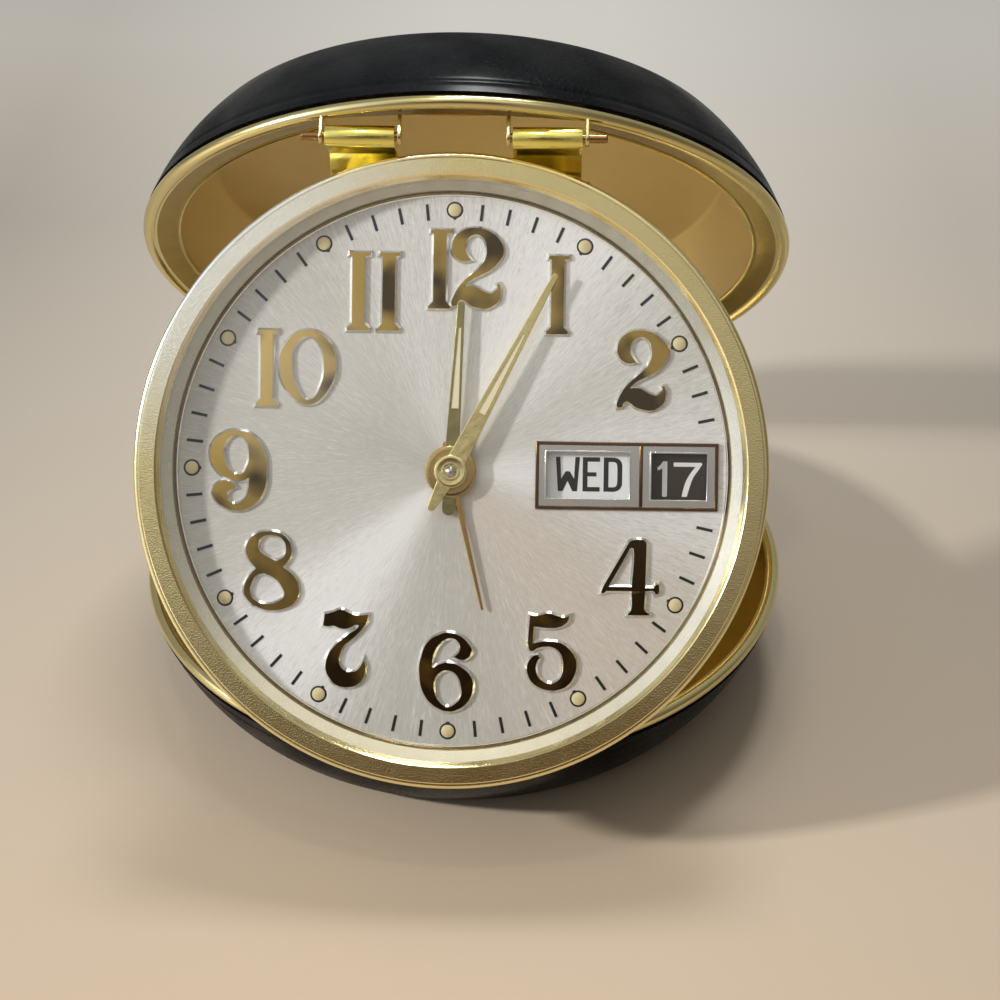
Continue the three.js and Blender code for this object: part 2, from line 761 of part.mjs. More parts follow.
function clockHeadPieces() {
  const plate = (depth) => disc(plateRadius, 0, -depth - plateThickness, -depth, innerSegments);
  const flat = (radius, bore) => disc(radius, bore, -discDepth - discThickness, -discDepth, innerSegments);
  const indices = [...Array(pillarCount).keys()];
  const pillars = indices.map((i) => piece(`plate_pillar_${i + 1}`, pillar(i), "brass"));
  return [
    piece("bezel", bezelRing(), "champagne"),
    piece("crystal", crystalDisc(), "crystal"),
    piece("reflector_ring", reflectorRing(), "champagne"),
    piece("dial", dialPlate(), "silver"),
    piece("calendar_frame", calendarFrame(), "silver"),
    piece("day_disc", flat(dayDiscRadius, dayDiscBore), "paper"),
    piece("date_disc", flat(dateDiscRadius, dateDiscBore), "ink"),
    piece("clock_drum", clockDrum(), "gold"),
    piece("back_cover", backCover(), "gold"),
    piece("movement_front_plate", plate(frontPlateDepth), "brass"),
    piece("movement_back_plate", plate(backPlateDepth), "brass"),
    ...pillars,
    piece("time_barrel", barrel(backPlaces.timeKey), "brass"),
    piece("alarm_barrel", barrel(backPlaces.alarmKey), "brass"),
    piece("balance_wheel", balanceWheel(), "brass"),
    piece("hand_post", handPost(), "steel"),
  ];
}

function handPieces() {
  const minute = [minuteHandLength, minuteHandTail, minuteHandWidth, minuteHubRadius, minuteHandDepth];
  const hour = [hourHandLength, hourHandTail, hourHandWidth, hourHubRadius, hourHandDepth];
  const alarm = [alarmHandLength, alarmHandTail, alarmHandWidth, alarmHubRadius, alarmHandDepth];
  return [
    piece("minute_hand", hand(...minute, minuteHandAngle), "gold"),
    piece("hour_hand", hand(...hour, hourHandAngle), "gold"),
    piece("alarm_hand", hand(...alarm, alarmHandAngle), "gold"),
  ];
}

function controlPieces() {
  return [
    piece("time_winding_key", windingKey(backPlaces.timeKey), "brass"),
    piece("alarm_winding_key", windingKey(backPlaces.alarmKey), "brass"),
    piece("time_setting_knob", settingKnob(backPlaces.timeKnob), "brass"),
    piece("alarm_setting_knob", settingKnob(backPlaces.alarmKnob), "brass"),
    piece("alarm_stop_button", pushButton(backPlaces.stopButton), "brass"),
    piece("calendar_button", pushButton(backPlaces.calendarButton), "brass"),
    piece("regulator_lever", regulatorLever(backPlaces.regulator), "steel"),
  ];
}

function strapPieces() {
  const lowerPinPlace = [lowerPinHeight, lowerPinDepth];
  return [["left", -1], ["right", 1]].flatMap(([word, side]) => [
    piece(`strap_${word}`, strap(side), "gold"),
    piece(`strap_lower_pin_${word}`, strapPin(side, ...lowerPinPlace, lowerPinOverhang), "brass"),
    piece(`strap_bracket_${word}`, strapBracket(side), "brass"),
  ]);
}

// Assembly

const lowerShell = new THREE.Group();
lowerShell.position.z = shellDepth;
lowerShell.add(...shellPieces("lower", lowerRim(), shellTray()));
const hingePin = crossRod(hingePinRadius, -hingeHalfLength, hingeHalfLength, hingeY, 0);
lowerShell.add(piece("case_hinge_pin", hingePin, "brass"));

// The upper shell is the lower one turned over onto it, then swung open about the case hinge.
const caseHinge = new THREE.Group();
caseHinge.position.set(0, hingeY, shellDepth);
caseHinge.rotation.x = -openingAngle;
const upperShell = new THREE.Group();
upperShell.position.y = -hingeY;
upperShell.rotation.y = Math.PI;
upperShell.add(...shellPieces("upper", upperRim(), nickedTray()));
caseHinge.add(upperShell);

// The upper strap pins belong to the upper shell, seen from inside it with left and right exchanged.
for (const [word, side] of [["left", 1], ["right", -1]]) {
  const pinDepth = -strapPinProud - clockProud;
  const pin = strapPin(side, -strapPinHeight, pinDepth, strapPinOverhang);
  upperShell.add(piece(`strap_upper_pin_${word}`, pin, "brass"));
}

// The clock lies in the upper shell when it is folded and hangs from the upper strap pins.
const strapHinge = new THREE.Group();
strapHinge.position.set(0, -strapPinHeight, strapPinProud + clockProud);
strapHinge.rotation.set(-foldAngle, 0, Math.PI, "ZXY");
const clock = new THREE.Group();
clock.position.set(0, -strapPinHeight, -strapPinProud);
clock.add(...clockHeadPieces(), ...handPieces(), ...controlPieces(), ...strapPieces());
strapHinge.add(clock);
upperShell.add(strapHinge);

const travelAlarmClock = new THREE.Group();
travelAlarmClock.add(lowerShell, caseHinge);

export default travelAlarmClock;
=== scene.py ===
# %% [markdown]
# # A folding travel alarm clock
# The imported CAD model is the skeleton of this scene. It gives the place of every piece and the bodies that
# move. Each visible piece is modelled again here as a fine mesh in the same place and rides on its body.
# Everything is drawn in millimetres in the frame of the part that carries it, and then put in place once.

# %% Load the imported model
import json
from math import asin, cos, degrees, exp, hypot, pi, radians, sin

import bmesh
import bpy
from mathutils import Euler, Matrix, Vector


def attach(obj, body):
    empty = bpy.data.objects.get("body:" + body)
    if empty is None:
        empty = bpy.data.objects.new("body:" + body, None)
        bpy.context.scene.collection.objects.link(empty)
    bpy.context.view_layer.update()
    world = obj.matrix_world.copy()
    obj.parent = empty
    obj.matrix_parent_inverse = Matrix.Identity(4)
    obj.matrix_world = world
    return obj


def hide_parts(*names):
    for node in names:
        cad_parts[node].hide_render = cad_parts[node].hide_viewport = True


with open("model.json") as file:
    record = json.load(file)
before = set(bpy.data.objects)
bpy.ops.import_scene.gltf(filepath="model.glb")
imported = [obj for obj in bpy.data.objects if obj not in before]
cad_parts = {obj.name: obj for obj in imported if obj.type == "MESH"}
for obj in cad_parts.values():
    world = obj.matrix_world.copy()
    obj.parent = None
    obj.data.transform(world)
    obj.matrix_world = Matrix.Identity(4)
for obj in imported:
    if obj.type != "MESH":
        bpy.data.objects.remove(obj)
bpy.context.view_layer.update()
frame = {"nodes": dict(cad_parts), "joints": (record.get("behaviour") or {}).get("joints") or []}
MM = 0.001

# %% [markdown]
# Three frames are enough. The lower shell is drawn with its rim plane at height 0. The upper shell is the
# same drawing turned over and swung about the case hinge. The clock is drawn face up: X to the right, Y to
# twelve o'clock, Z out of the face, with the front plane of the bezel at height 0. The joints of the model
# say where the hinge and the dial are, so the frames follow the model.

# %% Frames of the lower shell, the upper shell and the clock
OPENING = radians(52.2)
joints = {joint["name"]: joint for joint in frame["joints"]}
hinge = Vector(joints["case_hinge"]["pos_m"])
face = -Vector(joints["minute_hand_turn"]["axis"]).normalized()
across = Vector((1, 0, 0))
LOWER = Matrix.Translation((0, 0, hinge.z))
SWING = Matrix.Translation(hinge) @ Matrix.Rotation(-OPENING, 4, "X")
UPPER = SWING @ Matrix.Translation((0, -hinge.y, 0)) @ Matrix.Rotation(pi, 4, "Y")
TURN = Matrix((across, face.cross(across), face)).transposed().to_4x4()
CLOCK = Matrix.Translation(joints["minute_hand_turn"]["pos_m"]) @ TURN
print("clock centre (mm)", [round(value / MM, 2) for value in CLOCK.translation])

# %% [markdown]
# The first helpers are the moves that nearly every piece starts with. A chain is a plane merged to one
# vertex, which is then extruded from point to point, as by hand with the E key. Spun about an axis it becomes
# a turned piece, and filled and extruded it becomes a plate. Both are the quickest way from a section to a
# clean mesh with even faces. Every list of points is in millimetres.

# %% Chains, turned pieces and plates
JOIN = 0.002 * MM
SMOOTH = radians(32)


def activate(piece):
    if bpy.context.object and bpy.context.object.mode != "OBJECT":
        bpy.ops.object.mode_set(mode="OBJECT")
    bpy.ops.object.select_all(action="DESELECT")
    piece.select_set(True)
    bpy.context.view_layer.objects.active = piece


def primitive(name, add, middle=(0, 0, 0), size=(1, 1, 1)):
    bpy.ops.object.select_all(action="DESELECT")
    add(size=1, location=Vector(middle) * MM)
    piece = bpy.context.object
    piece.name = name
    piece.scale = Vector(size) * MM
    bpy.ops.object.transform_apply(location=True, rotation=True, scale=True)
    return piece


def linked(name, data):
    item = bpy.data.objects.new(name, data)
    bpy.context.scene.collection.objects.link(item)
    return item


def edit():
    bpy.ops.object.mode_set(mode="EDIT")
    bpy.ops.mesh.select_all(action="SELECT")


def extrude(x, y, z):
    bpy.ops.mesh.extrude_region_move(TRANSFORM_OT_translate={"value": Vector((x, y, z)) * MM})


def chain(name, points):
    piece = primitive(name, bpy.ops.mesh.primitive_plane_add)
    edit()
    bpy.ops.mesh.merge(type="CENTER")
    bpy.ops.transform.translate(value=Vector(points[0]) * MM)
    for before, after in zip(points, points[1:]):
        extrude(*(Vector(after) - Vector(before)))
    bpy.ops.mesh.select_all(action="SELECT")
    return piece


def smoothed(piece, angle=SMOOTH):
    bpy.ops.object.shade_smooth_by_angle(angle=angle)
    return piece


def tidy(smooth=SMOOTH):
    bpy.ops.mesh.select_all(action="SELECT")
    bpy.ops.mesh.remove_doubles(threshold=JOIN)
    bpy.ops.mesh.normals_make_consistent(inside=False)
    bpy.ops.object.mode_set(mode="OBJECT")
    return smoothed(bpy.context.object, smooth)


def modified(piece, kind, **settings):
    activate(piece)
    modifier = piece.modifiers.new(kind, kind)
    for key, value in settings.items():
        setattr(modifier, key, value)
    bpy.ops.object.modifier_apply(modifier=modifier.name)
    return piece


def bevelled(piece, width, segments=2, angle=35):
    limit = {"limit_method": "ANGLE", "angle_limit": radians(angle)}
    return smoothed(modified(piece, "BEVEL", width=width * MM, segments=segments, **limit))


def turned(name, profile, steps=144, smooth=SMOOTH):
    chain(name, [(radius, 0, height) for radius, height in profile])
    bpy.ops.mesh.spin(steps=steps, angle=2 * pi, center=(0, 0, 0), axis=(0, 0, 1))
    return tidy(smooth)


def plate(name, outline, bottom, top, bevel=0):
    chain(name, [(x, y, bottom) for x, y in [*outline, outline[0]]])
    bpy.ops.mesh.remove_doubles(threshold=JOIN)
    bpy.ops.mesh.edge_face_add()
    extrude(0, 0, top - bottom)
    piece = tidy()
    return bevelled(piece, bevel) if bevel else piece


def arc(x, y, radius, start, end, steps=8):
    turns = [radians(start + (end - start) * i / steps) for i in range(steps + 1)]
    return [(x + radius * cos(turn), y + radius * sin(turn)) for turn in turns]


print("helpers for chains, turned pieces and plates are ready")

# %% [markdown]
# The second group places, joins and cuts. A finished piece keeps its object at the origin and its place in
# its mesh, so that a pattern on object coordinates stays where it was drawn. Cuts are boolean modifiers
# with a cutter that is removed again. The looks are the materials, kept here under short names.

# %% Placing, joining and cutting
ALONG_X = Matrix.Rotation(pi / 2, 4, "Y")
SIDEWAYS = Matrix(((0, 0, 1, 0), (1, 0, 0, 0), (0, 1, 0, 0), (0, 0, 0, 1)))
PARALLEL = 0.99
looks = {}


def place(piece, matrix):
    activate(piece)
    piece.matrix_world = matrix
    bpy.ops.object.transform_apply(location=True, rotation=True, scale=True)
    return piece


def moved(x, y, z):
    return Matrix.Translation(Vector((x, y, z)) * MM)


def joined(pieces):
    activate(pieces[0])
    for piece in pieces[1:]:
        piece.select_set(True)
    if len(pieces) > 1:
        bpy.ops.object.join()
    return bpy.context.object


def carve(piece, cutter):
    modified(piece, "BOOLEAN", operation="DIFFERENCE", object=cutter, solver="EXACT")
    bpy.data.objects.remove(cutter)
    return smoothed(piece)


def edges_along(axis):
    mesh = bmesh.from_edit_mesh(bpy.context.object.data)
    for edge in mesh.edges:
        line = (edge.verts[1].co - edge.verts[0].co).normalized()
        edge.select = abs(line[axis]) > PARALLEL
    bmesh.update_edit_mesh(bpy.context.object.data)


def block(name, low, high, rounding=0, axis=2):
    middle = [(a + b) / 2 for a, b in zip(low, high)]
    size = [b - a for a, b in zip(low, high)]
    piece = primitive(name, bpy.ops.mesh.primitive_cube_add, middle, size)
    if rounding:
        edit()
        bpy.ops.mesh.select_mode(type="EDGE")
        edges_along(axis)
        bpy.ops.mesh.bevel(offset=rounding * MM, segments=6, affect="EDGES")
        bpy.ops.mesh.select_mode(type="VERT")
        bpy.ops.object.mode_set(mode="OBJECT")
    return piece


def rod(name, radius, start, end, y, z, rounding=0.15, steps=32):
    shoulder = radius - rounding
    profile = [(0, start), *arc(shoulder, start + rounding, rounding, -90, 0, 4),
               *arc(shoulder, end - rounding, rounding, 0, 90, 4), (0, end)]
    return place(turned(name, profile, steps), moved(0, y, z) @ ALONG_X)


def cross_plate(name, outline, start, end, bevel=0):
    return place(plate(name, outline, start, end, bevel), SIDEWAYS)


def two_tone(piece, first, second, is_second):
    piece.data.materials.clear()
    for look in (first, second):
        piece.data.materials.append(looks[look])
    for face_of_piece in piece.data.polygons:
        place_mm = face_of_piece.center / MM
        face_of_piece.material_index = int(is_second(hypot(*place_mm.xy), place_mm.z, face_of_piece.normal.z))
    return piece


def finished(piece, name, body, look, slot, *nodes):
    piece.name = name
    piece.data.name = name
    if look:
        piece.data.materials.clear()
        piece.data.materials.append(looks[look])
    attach(piece, body)
    if nodes:
        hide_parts(*nodes)
    print(name, len(piece.data.polygons), "faces")


def on_clock(piece, name, look, slot, *nodes):
    finished(place(piece, CLOCK), name, "clock", look, slot, *nodes)


print("helpers for placing and cutting are ready")

# %% [markdown]
# Materials are written as sums. A Wire wraps the output of a node, and adding or multiplying wires adds the
# Math nodes. A Tree is any node tree and a Finish is one material: node() makes any other node, and the
# short methods below it are the patterns that the finishes share, such as noise, ramp, mix and bump.

# %% Wires and finishes
class Wire:
    def __init__(self, tree, socket):
        self.tree = tree
        self.socket = socket

    def math(self, operation, first, second=0.0):
        return self.tree.node("ShaderNodeMath", {"operation": operation}, {0: first, 1: second})

    def __add__(self, other):
        return self.math("ADD", self, other)

    def __sub__(self, other):
        return self.math("SUBTRACT", self, other)

    def __rsub__(self, other):
        return self.math("SUBTRACT", other, self)

    def __mul__(self, other):
        return self.math("MULTIPLY", self, other)

    def __truediv__(self, other):
        return self.math("DIVIDE", self, other)

    def __pow__(self, other):
        return self.math("POWER", self, other)

    __radd__ = __add__
    __rmul__ = __mul__


class Tree:
    def __init__(self, tree):
        self.nodes = tree.nodes
        self.links = tree.links

    def put(self, socket, value):
        if isinstance(value, Wire):
            self.links.new(value.socket, socket)
        elif hasattr(value, "__len__") and socket.type == "RGBA" and len(value) == 3:
            socket.default_value = (*value, 1)
        else:
            socket.default_value = value

    def node(self, kind, settings=None, values=None, output=0):
        node = self.nodes.new(kind)
        for key, value in (settings or {}).items():
            if key == "stops":
                while len(node.color_ramp.elements) < len(value):
                    node.color_ramp.elements.new(0.5)
                for element, (place_on_ramp, level) in zip(node.color_ramp.elements, value):
                    element.position = place_on_ramp
                    element.color = (level, level, level, 1)
            else:
                setattr(node, key, value)
        for key, value in (values or {}).items():
            self.put(node.inputs[key], value)
        return Wire(self, node.outputs[output])

    def noise(self, vector, scale, detail=3, roughness=0.55):
        values = {"Vector": vector, "Scale": scale, "Detail": detail, "Roughness": roughness}
        return self.node("ShaderNodeTexNoise", None, values)

    def cells(self, vector, scale):
        return self.node("ShaderNodeTexVoronoi", None, {"Vector": vector, "Scale": scale})

    def ramp(self, value, *stops):
        return self.node("ShaderNodeValToRGB", {"stops": stops}, {"Fac": value})

    def mix(self, factor, first, second):
        values = {"Factor": factor, "A": first, "B": second}
        node = self.nodes.new("ShaderNodeMix")
        node.data_type = "RGBA"
        for key, value in values.items():
            socket = [item for item in node.inputs if item.name == key and item.enabled][0]
            self.put(socket, value)
        return Wire(self, [item for item in node.outputs if item.enabled][0])

    def vector(self, operation, first, second=(0, 0, 0), output=0):
        return self.node("ShaderNodeVectorMath", {"operation": operation}, {0: first, 1: second}, output)


class Finish(Tree):
    def __init__(self, name, metallic=0.0, **sockets):
        self.material = bpy.data.materials.new(name)
        self.material.use_nodes = True
        super().__init__(self.material.node_tree)
        self.shader = self.nodes["Principled BSDF"]
        self.set(metallic=metallic, **sockets)

    def set(self, **sockets):
        for key, value in sockets.items():
            self.put(self.shader.inputs[key.replace("_", " ").title().replace("Ior", "IOR")], value)

    def spot(self, matrix=Matrix.Identity(4)):
        home = matrix.inverted()
        spot = self.node("ShaderNodeTexCoord", None, None, "Object")
        values = {"Vector": spot, "Location": home.translation, "Rotation": home.to_euler()}
        return self.node("ShaderNodeMapping", None, values)

    def parts(self, vector):
        return [self.node("ShaderNodeSeparateXYZ", None, {0: vector}, axis) for axis in range(3)]

    def flat(self, vector):
        x, y, _ = self.parts(vector)
        return self.node("ShaderNodeCombineXYZ", None, {0: x, 1: y})

    def radius(self, vector):
        return self.vector("LENGTH", self.flat(vector), output=1)

    def direction(self, vector):
        return self.vector("NORMALIZE", self.flat(vector))

    def bump(self, height, strength, distance):
        values = {"Height": height, "Strength": strength, "Distance": distance * MM}
        self.set(normal=self.node("ShaderNodeBump", None, values))


print("material tools are ready")

# %% [markdown]
# The leather is thin, dyed nearly black and glazed. Small rounded cells with creases between them give its
# grain, longer wrinkles cross it, and a wider noise makes the glaze uneven. The height of the grain drives
# the bump, and it also drives the roughness, because the glaze is worn off the tops of the cells.

# %% Leather
def leather_finish():
    finish = Finish("glazed_black_leather", specular_ior_level=0.03, coat_roughness=0.2)
    spot = finish.spot()
    wide = finish.noise(spot, 90, 3)
    grain = finish.cells(spot, 2100)
    fine = finish.noise(spot, 6000, 2)
    creases = finish.noise(spot, 480, 5, 0.65)
    wrinkle = finish.ramp(creases, (0.46, 1.0), (0.5, 0.0), (0.54, 1.0))
    finish.set(base_color=finish.mix(wide, (0.0016, 0.002, 0.0024), (0.004, 0.005, 0.006)))
    finish.set(roughness=0.3 + wide * 0.14 + grain * 0.18)
    finish.set(coat_weight=finish.ramp(wide, (0.35, 0.1), (0.65, 0.45)))
    finish.bump(grain * 0.9 + fine * 0.35 + wrinkle * 0.3 + creases * 0.8, 0.85, 0.1)
    return finish.material


looks["leather"] = leather_finish()
print("leather ready")

# %% [markdown]
# The metals share one recipe: a colour that varies a little, a roughness with faint smudges, and a bump of
# fine brushing. The brushing of a turned piece runs round its axis, so its noise reads only the distance
# from that axis. On plain pieces it reads the place in space. Sheet that was bent by hand is never quite
# flat, so a slow wave can be added, which breaks up what the metal mirrors. The bezel alone has a fine grain
# too, and towards its upper left its gilt is painted near white, a painted reflection of a window, so the
# place round the clock decides its colour. Some rows are painted light: the flange's dark gilt is partly a
# painted reflection of the dark inside of the case, the top strap pins and the reflector's lip carry painted
# shade, and the numerals' near-white sides are their painted highlight.
# Each row of the table gives the colour, its deeper tone, the roughness, how far smudges raise it and how
# deep the brushing is. Then come the frame of the brushing, the waves, how metallic it is, and the grain,
# which also switches on the painted reflection of the bezel.

# %% Metals
PAINTED_GLARE_WHITE = (0.99, 0.97, 0.86)
BRUSH_SCALE = 5200


def metal_finish(name, colour, deep, roughness, spread, brushing,
                 home=None, waves=0.0, metallic=1.0, grain=0.0):
    finish = Finish(name, metallic=metallic)
    spot = finish.spot(home or Matrix.Identity(4))
    smudge = finish.noise(spot, 160, 4, 0.6)
    if home:
        lines = finish.node("ShaderNodeTexNoise", {"noise_dimensions": "1D"},
                            {"W": finish.radius(spot), "Scale": BRUSH_SCALE, "Detail": 3})
    else:
        lines = finish.noise(spot, BRUSH_SCALE / 2, 3)
    tone = finish.mix(smudge, deep, colour)
    height = lines * brushing
    if waves:
        height = height + finish.noise(spot, 380, 3, 0.5) * waves
    if grain:
        height = height + finish.noise(spot, BRUSH_SCALE, 2, 0.6) * grain
        # Painted reflection: towards the upper left of the clock the gilt is mixed to near white, like a
        # window shining in it.
        x, y, _ = finish.parts(finish.direction(spot))
        painted_glare = finish.ramp(y * 0.7 - x * 0.7, (0.7, 0.0), (0.97, 1.0))
        tone = finish.mix(painted_glare, tone, PAINTED_GLARE_WHITE)
    finish.set(base_color=tone)
    finish.set(roughness=roughness + smudge * spread + lines * brushing * 0.12)
    finish.bump(height, 1.0, 0.01)
    return finish.material


METALS = {
    "strap_gilt": ((1.0, 0.93, 0.3), (0.88, 0.72, 0.16), 0.14, 0.1, 0.1, None, 8),
    # The flange: dark gilt, partly a painted reflection of the case's inside.
    "flange_gilt": ((0.38, 0.27, 0.05), (0.24, 0.165, 0.03), 0.12, 0.1, 0.1, None, 3),
    "rim_gilt": ((0.78, 0.69, 0.35), (0.68, 0.58, 0.26), 0.12, 0.1, 0.1, None, 2.5),
    "satin_tan": ((0.8, 0.66, 0.36), (0.72, 0.58, 0.29), 0.4, 0.12, 0.25, None, 0, 0.4),
    # The bezel: its grain also switches on the painted reflection at its upper left.
    "champagne": ((0.96, 0.84, 0.46), (0.88, 0.74, 0.36), 0.1, 0.08, 0.2, CLOCK, 1, 1.0, 1.8),
    "reflector": ((1.0, 0.96, 0.8), (0.95, 0.89, 0.7), 0.18, 0.12, 0.3, CLOCK),
    # The top strap pins: darker gilt as painted shade.
    "dark_gilt": ((0.42, 0.25, 0.1), (0.3, 0.17, 0.06), 0.12, 0.08, 0.04),
    "border_gilt": ((0.2, 0.11, 0.045), (0.13, 0.07, 0.03), 0.12, 0.08, 0.04),
    # The reflector's lip: dark gilt as painted shade of the groove round the dial.
    "lip_gilt": ((0.34, 0.28, 0.18), (0.24, 0.19, 0.12), 0.12, 0.08, 0.04),
    "silver": ((0.88, 0.88, 0.86), (0.8, 0.8, 0.78), 0.16, 0.1, 0.1),
    # The numerals' sides: near-white silver as their painted highlight.
    "numeral_silver": ((0.95, 0.95, 0.93), (0.88, 0.88, 0.86), 0.14, 0.1, 0.1),
    "steel": ((0.66, 0.64, 0.65), (0.54, 0.52, 0.53), 0.2, 0.12, 0.12),
    "brass": ((0.74, 0.58, 0.28), (0.64, 0.48, 0.21), 0.24, 0.16, 0.15),
    "back_gilt": ((0.8, 0.66, 0.34), (0.72, 0.58, 0.28), 0.24, 0.12, 0.5, CLOCK, 1),
    "hub_gilt": ((0.72, 0.52, 0.22), (0.56, 0.38, 0.13), 0.12, 0.08, 0.1, None, 2),
    "pale_hand": ((1.0, 0.9, 0.48), (0.8, 0.64, 0.24), 0.12, 0.12, 0.15, None, 7),
    "olive_hand": ((0.56, 0.48, 0.22), (0.3, 0.27, 0.11), 0.12, 0.1, 0.1, None, 5),
    "red_hand": ((0.8, 0.56, 0.24), (0.66, 0.42, 0.15), 0.14, 0.1, 0.2, None, 2),
}
for name, values in METALS.items():
    looks[name] = metal_finish(name, *values)
print(len(METALS), "metals ready")

# %% [markdown]
# The dial is silvered and brushed outwards from its centre, so light spreads over it in wedges, and these
# wedges are painted into its colour. The direction from the centre, which is the place divided by its own
# length, drives everything. A noise of the direction, stretched along the radius, makes the brush strokes.
# The dot product with a fixed direction, raised to a power, makes one soft wedge: each table gives the
# angle of a wedge from twelve o'clock, how narrow it is and how strong. The wedges are painted light: painted
# highlights lighten the silver, a painted warm reflection warms it and painted shade darkens it. The darkest
# strokes take the same shade colour, and the strokes also drive a bump.

# %% Dial finish
RING_INNER, RING_OUTER = 30.5, 33.5
DIAL_SILVER = (0.68, 0.67, 0.62)
DIAL_PAINTED_HIGHLIGHT = (1.0, 1.0, 1.0)
DIAL_PAINTED_WARM_REFLECTION = (0.76, 0.62, 0.5)
DIAL_STROKE_AND_PAINTED_SHADE = (0.42, 0.4, 0.35)
PAINTED_HIGHLIGHT_WEDGES = {222: (26, 1.15), 25: (12, 1.05), 345: (40, 0.35), 90: (18, 0.85)}
PAINTED_WARM_REFLECTION_WEDGES = {136: (10, 0.5)}
PAINTED_SHADE_WEDGES = {178: (12, 0.3), 290: (8, 0.35)}


def wedges(x, y, table):
    total = 0.0
    for turn, (sharpness, share) in table.items():
        along = x * sin(radians(turn)) + y * cos(radians(turn))
        total = (along.math("MAXIMUM", along, 0.0) ** sharpness) * share + total
    return total


def dial_finish():
    finish = Finish("rayed_silver", metallic=0.08)
    spot = finish.spot(CLOCK)
    ray = finish.direction(spot)
    radius = finish.radius(spot)
    x, y, _ = finish.parts(ray)
    stroke = finish.node("ShaderNodeCombineXYZ", None, {0: x, 1: y, 2: radius * 3.5})
    wide = finish.noise(ray, 3.0, 2)
    thin = finish.noise(stroke, 70, 4, 0.75)
    thread = finish.noise(stroke, 260, 3, 0.8)
    middle = finish.ramp(radius / (RING_INNER * MM), (0.1, 1.0), (0.75, 0.25))
    scratches = finish.ramp(thread, (0.55, 0.0), (0.75, 1.0)) * middle
    rays = (thin - 0.5) * 1.0 + (thread - 0.5) * 1.4 + (wide - 0.5) * 0.3 + scratches * 0.9
    # Painted light: shade wedges darken the silver, the warm wedge tints it as a painted reflection and the
    # bright wedges are painted highlights.
    colour = finish.mix(wedges(x, y, PAINTED_SHADE_WEDGES), DIAL_SILVER, DIAL_STROKE_AND_PAINTED_SHADE)
    colour = finish.mix(wedges(x, y, PAINTED_WARM_REFLECTION_WEDGES), colour, DIAL_PAINTED_WARM_REFLECTION)
    colour = finish.mix(wedges(x, y, PAINTED_HIGHLIGHT_WEDGES) + rays, colour, DIAL_PAINTED_HIGHLIGHT)
    colour = finish.mix((0.47 - thread) * 2.4, colour, DIAL_STROKE_AND_PAINTED_SHADE)
    finish.set(base_color=colour)
    finish.set(roughness=0.38 + thin * 0.14)
    finish.bump(thin * 0.5 + thread * 0.5, 0.35, 0.06)
    return finish.material


looks["dial_silver"] = dial_finish()
print("dial finish ready")

# %% [markdown]
# Printed and painted parts are matt: black ink, the white and the black calendar disc, and the cream paint
# of the luminous dots. The crystal is clear, so it is a transparent shader with a glossy one over it. The
# share of gloss follows the Fresnel law and is limited, so that the clock stays bright under it.

# %% Printed parts and crystal
def matt_finish(name, colour, deep, roughness=0.5, scale=900):
    finish = Finish(name, roughness=roughness)
    speckle = finish.noise(finish.spot(), scale, 4, 0.6)
    finish.set(base_color=finish.mix(speckle, deep, colour))
    finish.bump(speckle, 0.15, 0.03)
    return finish.material


def crystal_finish():
    finish = Finish("clear_crystal")
    haze = finish.noise(finish.spot(), 220, 3)
    fresnel = finish.node("ShaderNodeFresnel", None, {"IOR": 1.42})
    share = fresnel.math("MINIMUM", fresnel, 0.3) + haze * 0.006
    clear = finish.node("ShaderNodeBsdfTransparent")
    gloss = finish.node("ShaderNodeBsdfGlossy", None, {"Roughness": 0.03})
    mixed = finish.node("ShaderNodeMixShader", None, {0: share, 1: clear, 2: gloss})
    finish.put(finish.nodes["Material Output"].inputs["Surface"], mixed)
    finish.nodes.remove(finish.shader)
    return finish.material


MATT = {
    "yellow_cream_paint": ((0.86, 0.77, 0.48), (0.7, 0.56, 0.28), 0.4, 1800),
    "cream_paint": ((0.95, 0.9, 0.66), (0.86, 0.8, 0.54), 0.6, 2500),
    "black_ink": ((0.012, 0.012, 0.013), (0.02, 0.02, 0.02), 0.35),
    "white_paper": ((0.94, 0.95, 0.94), (0.88, 0.89, 0.88)),
    "black_paper": ((0.03, 0.02, 0.014), (0.045, 0.03, 0.02)),
}
for name, values in MATT.items():
    looks[name] = matt_finish(name, *values)
looks["crystal"] = crystal_finish()
print(len(MATT), "matt finishes and the crystal ready")

# %% [markdown]
# Each shell is a former covered in leather: a curved wall, a tight corner and a slightly domed floor. It is
# one section spun about the axis. The wall and the corner are arcs that run into each other, and the dome
# flattens out towards the middle, where the lower shell rests. Where the leather is turned in under the
# rim it is doubled, and a shallow crease runs round the outside there. WALL and CORNER give the
# middle of each arc, as radius and height, and then its own radius.

# %% Shell section
CASE_RADIUS = 40.3
SEAM_DEPTH = 1.8
WALL = (12.184, 7.254, 29.3)
CORNER = (31.506, -10.143, 3.3)
WALL_END, CORNER_END = 42, 72
REST_RADIUS = 25
SHELL_DEPTH = hinge.z / MM
PLAIN_STEPS, CREASED_STEPS, CORNER_STEPS, DOME_STEPS, SHELL_STEPS = 14, 60, 8, 8, 180
CREASE_DEPTH, CREASE, CREASE_WIDTH = 3.3, 0.14, 0.3
LEATHER, TRAY_INSET, TRAY = 1.1, 1.4, 0.4


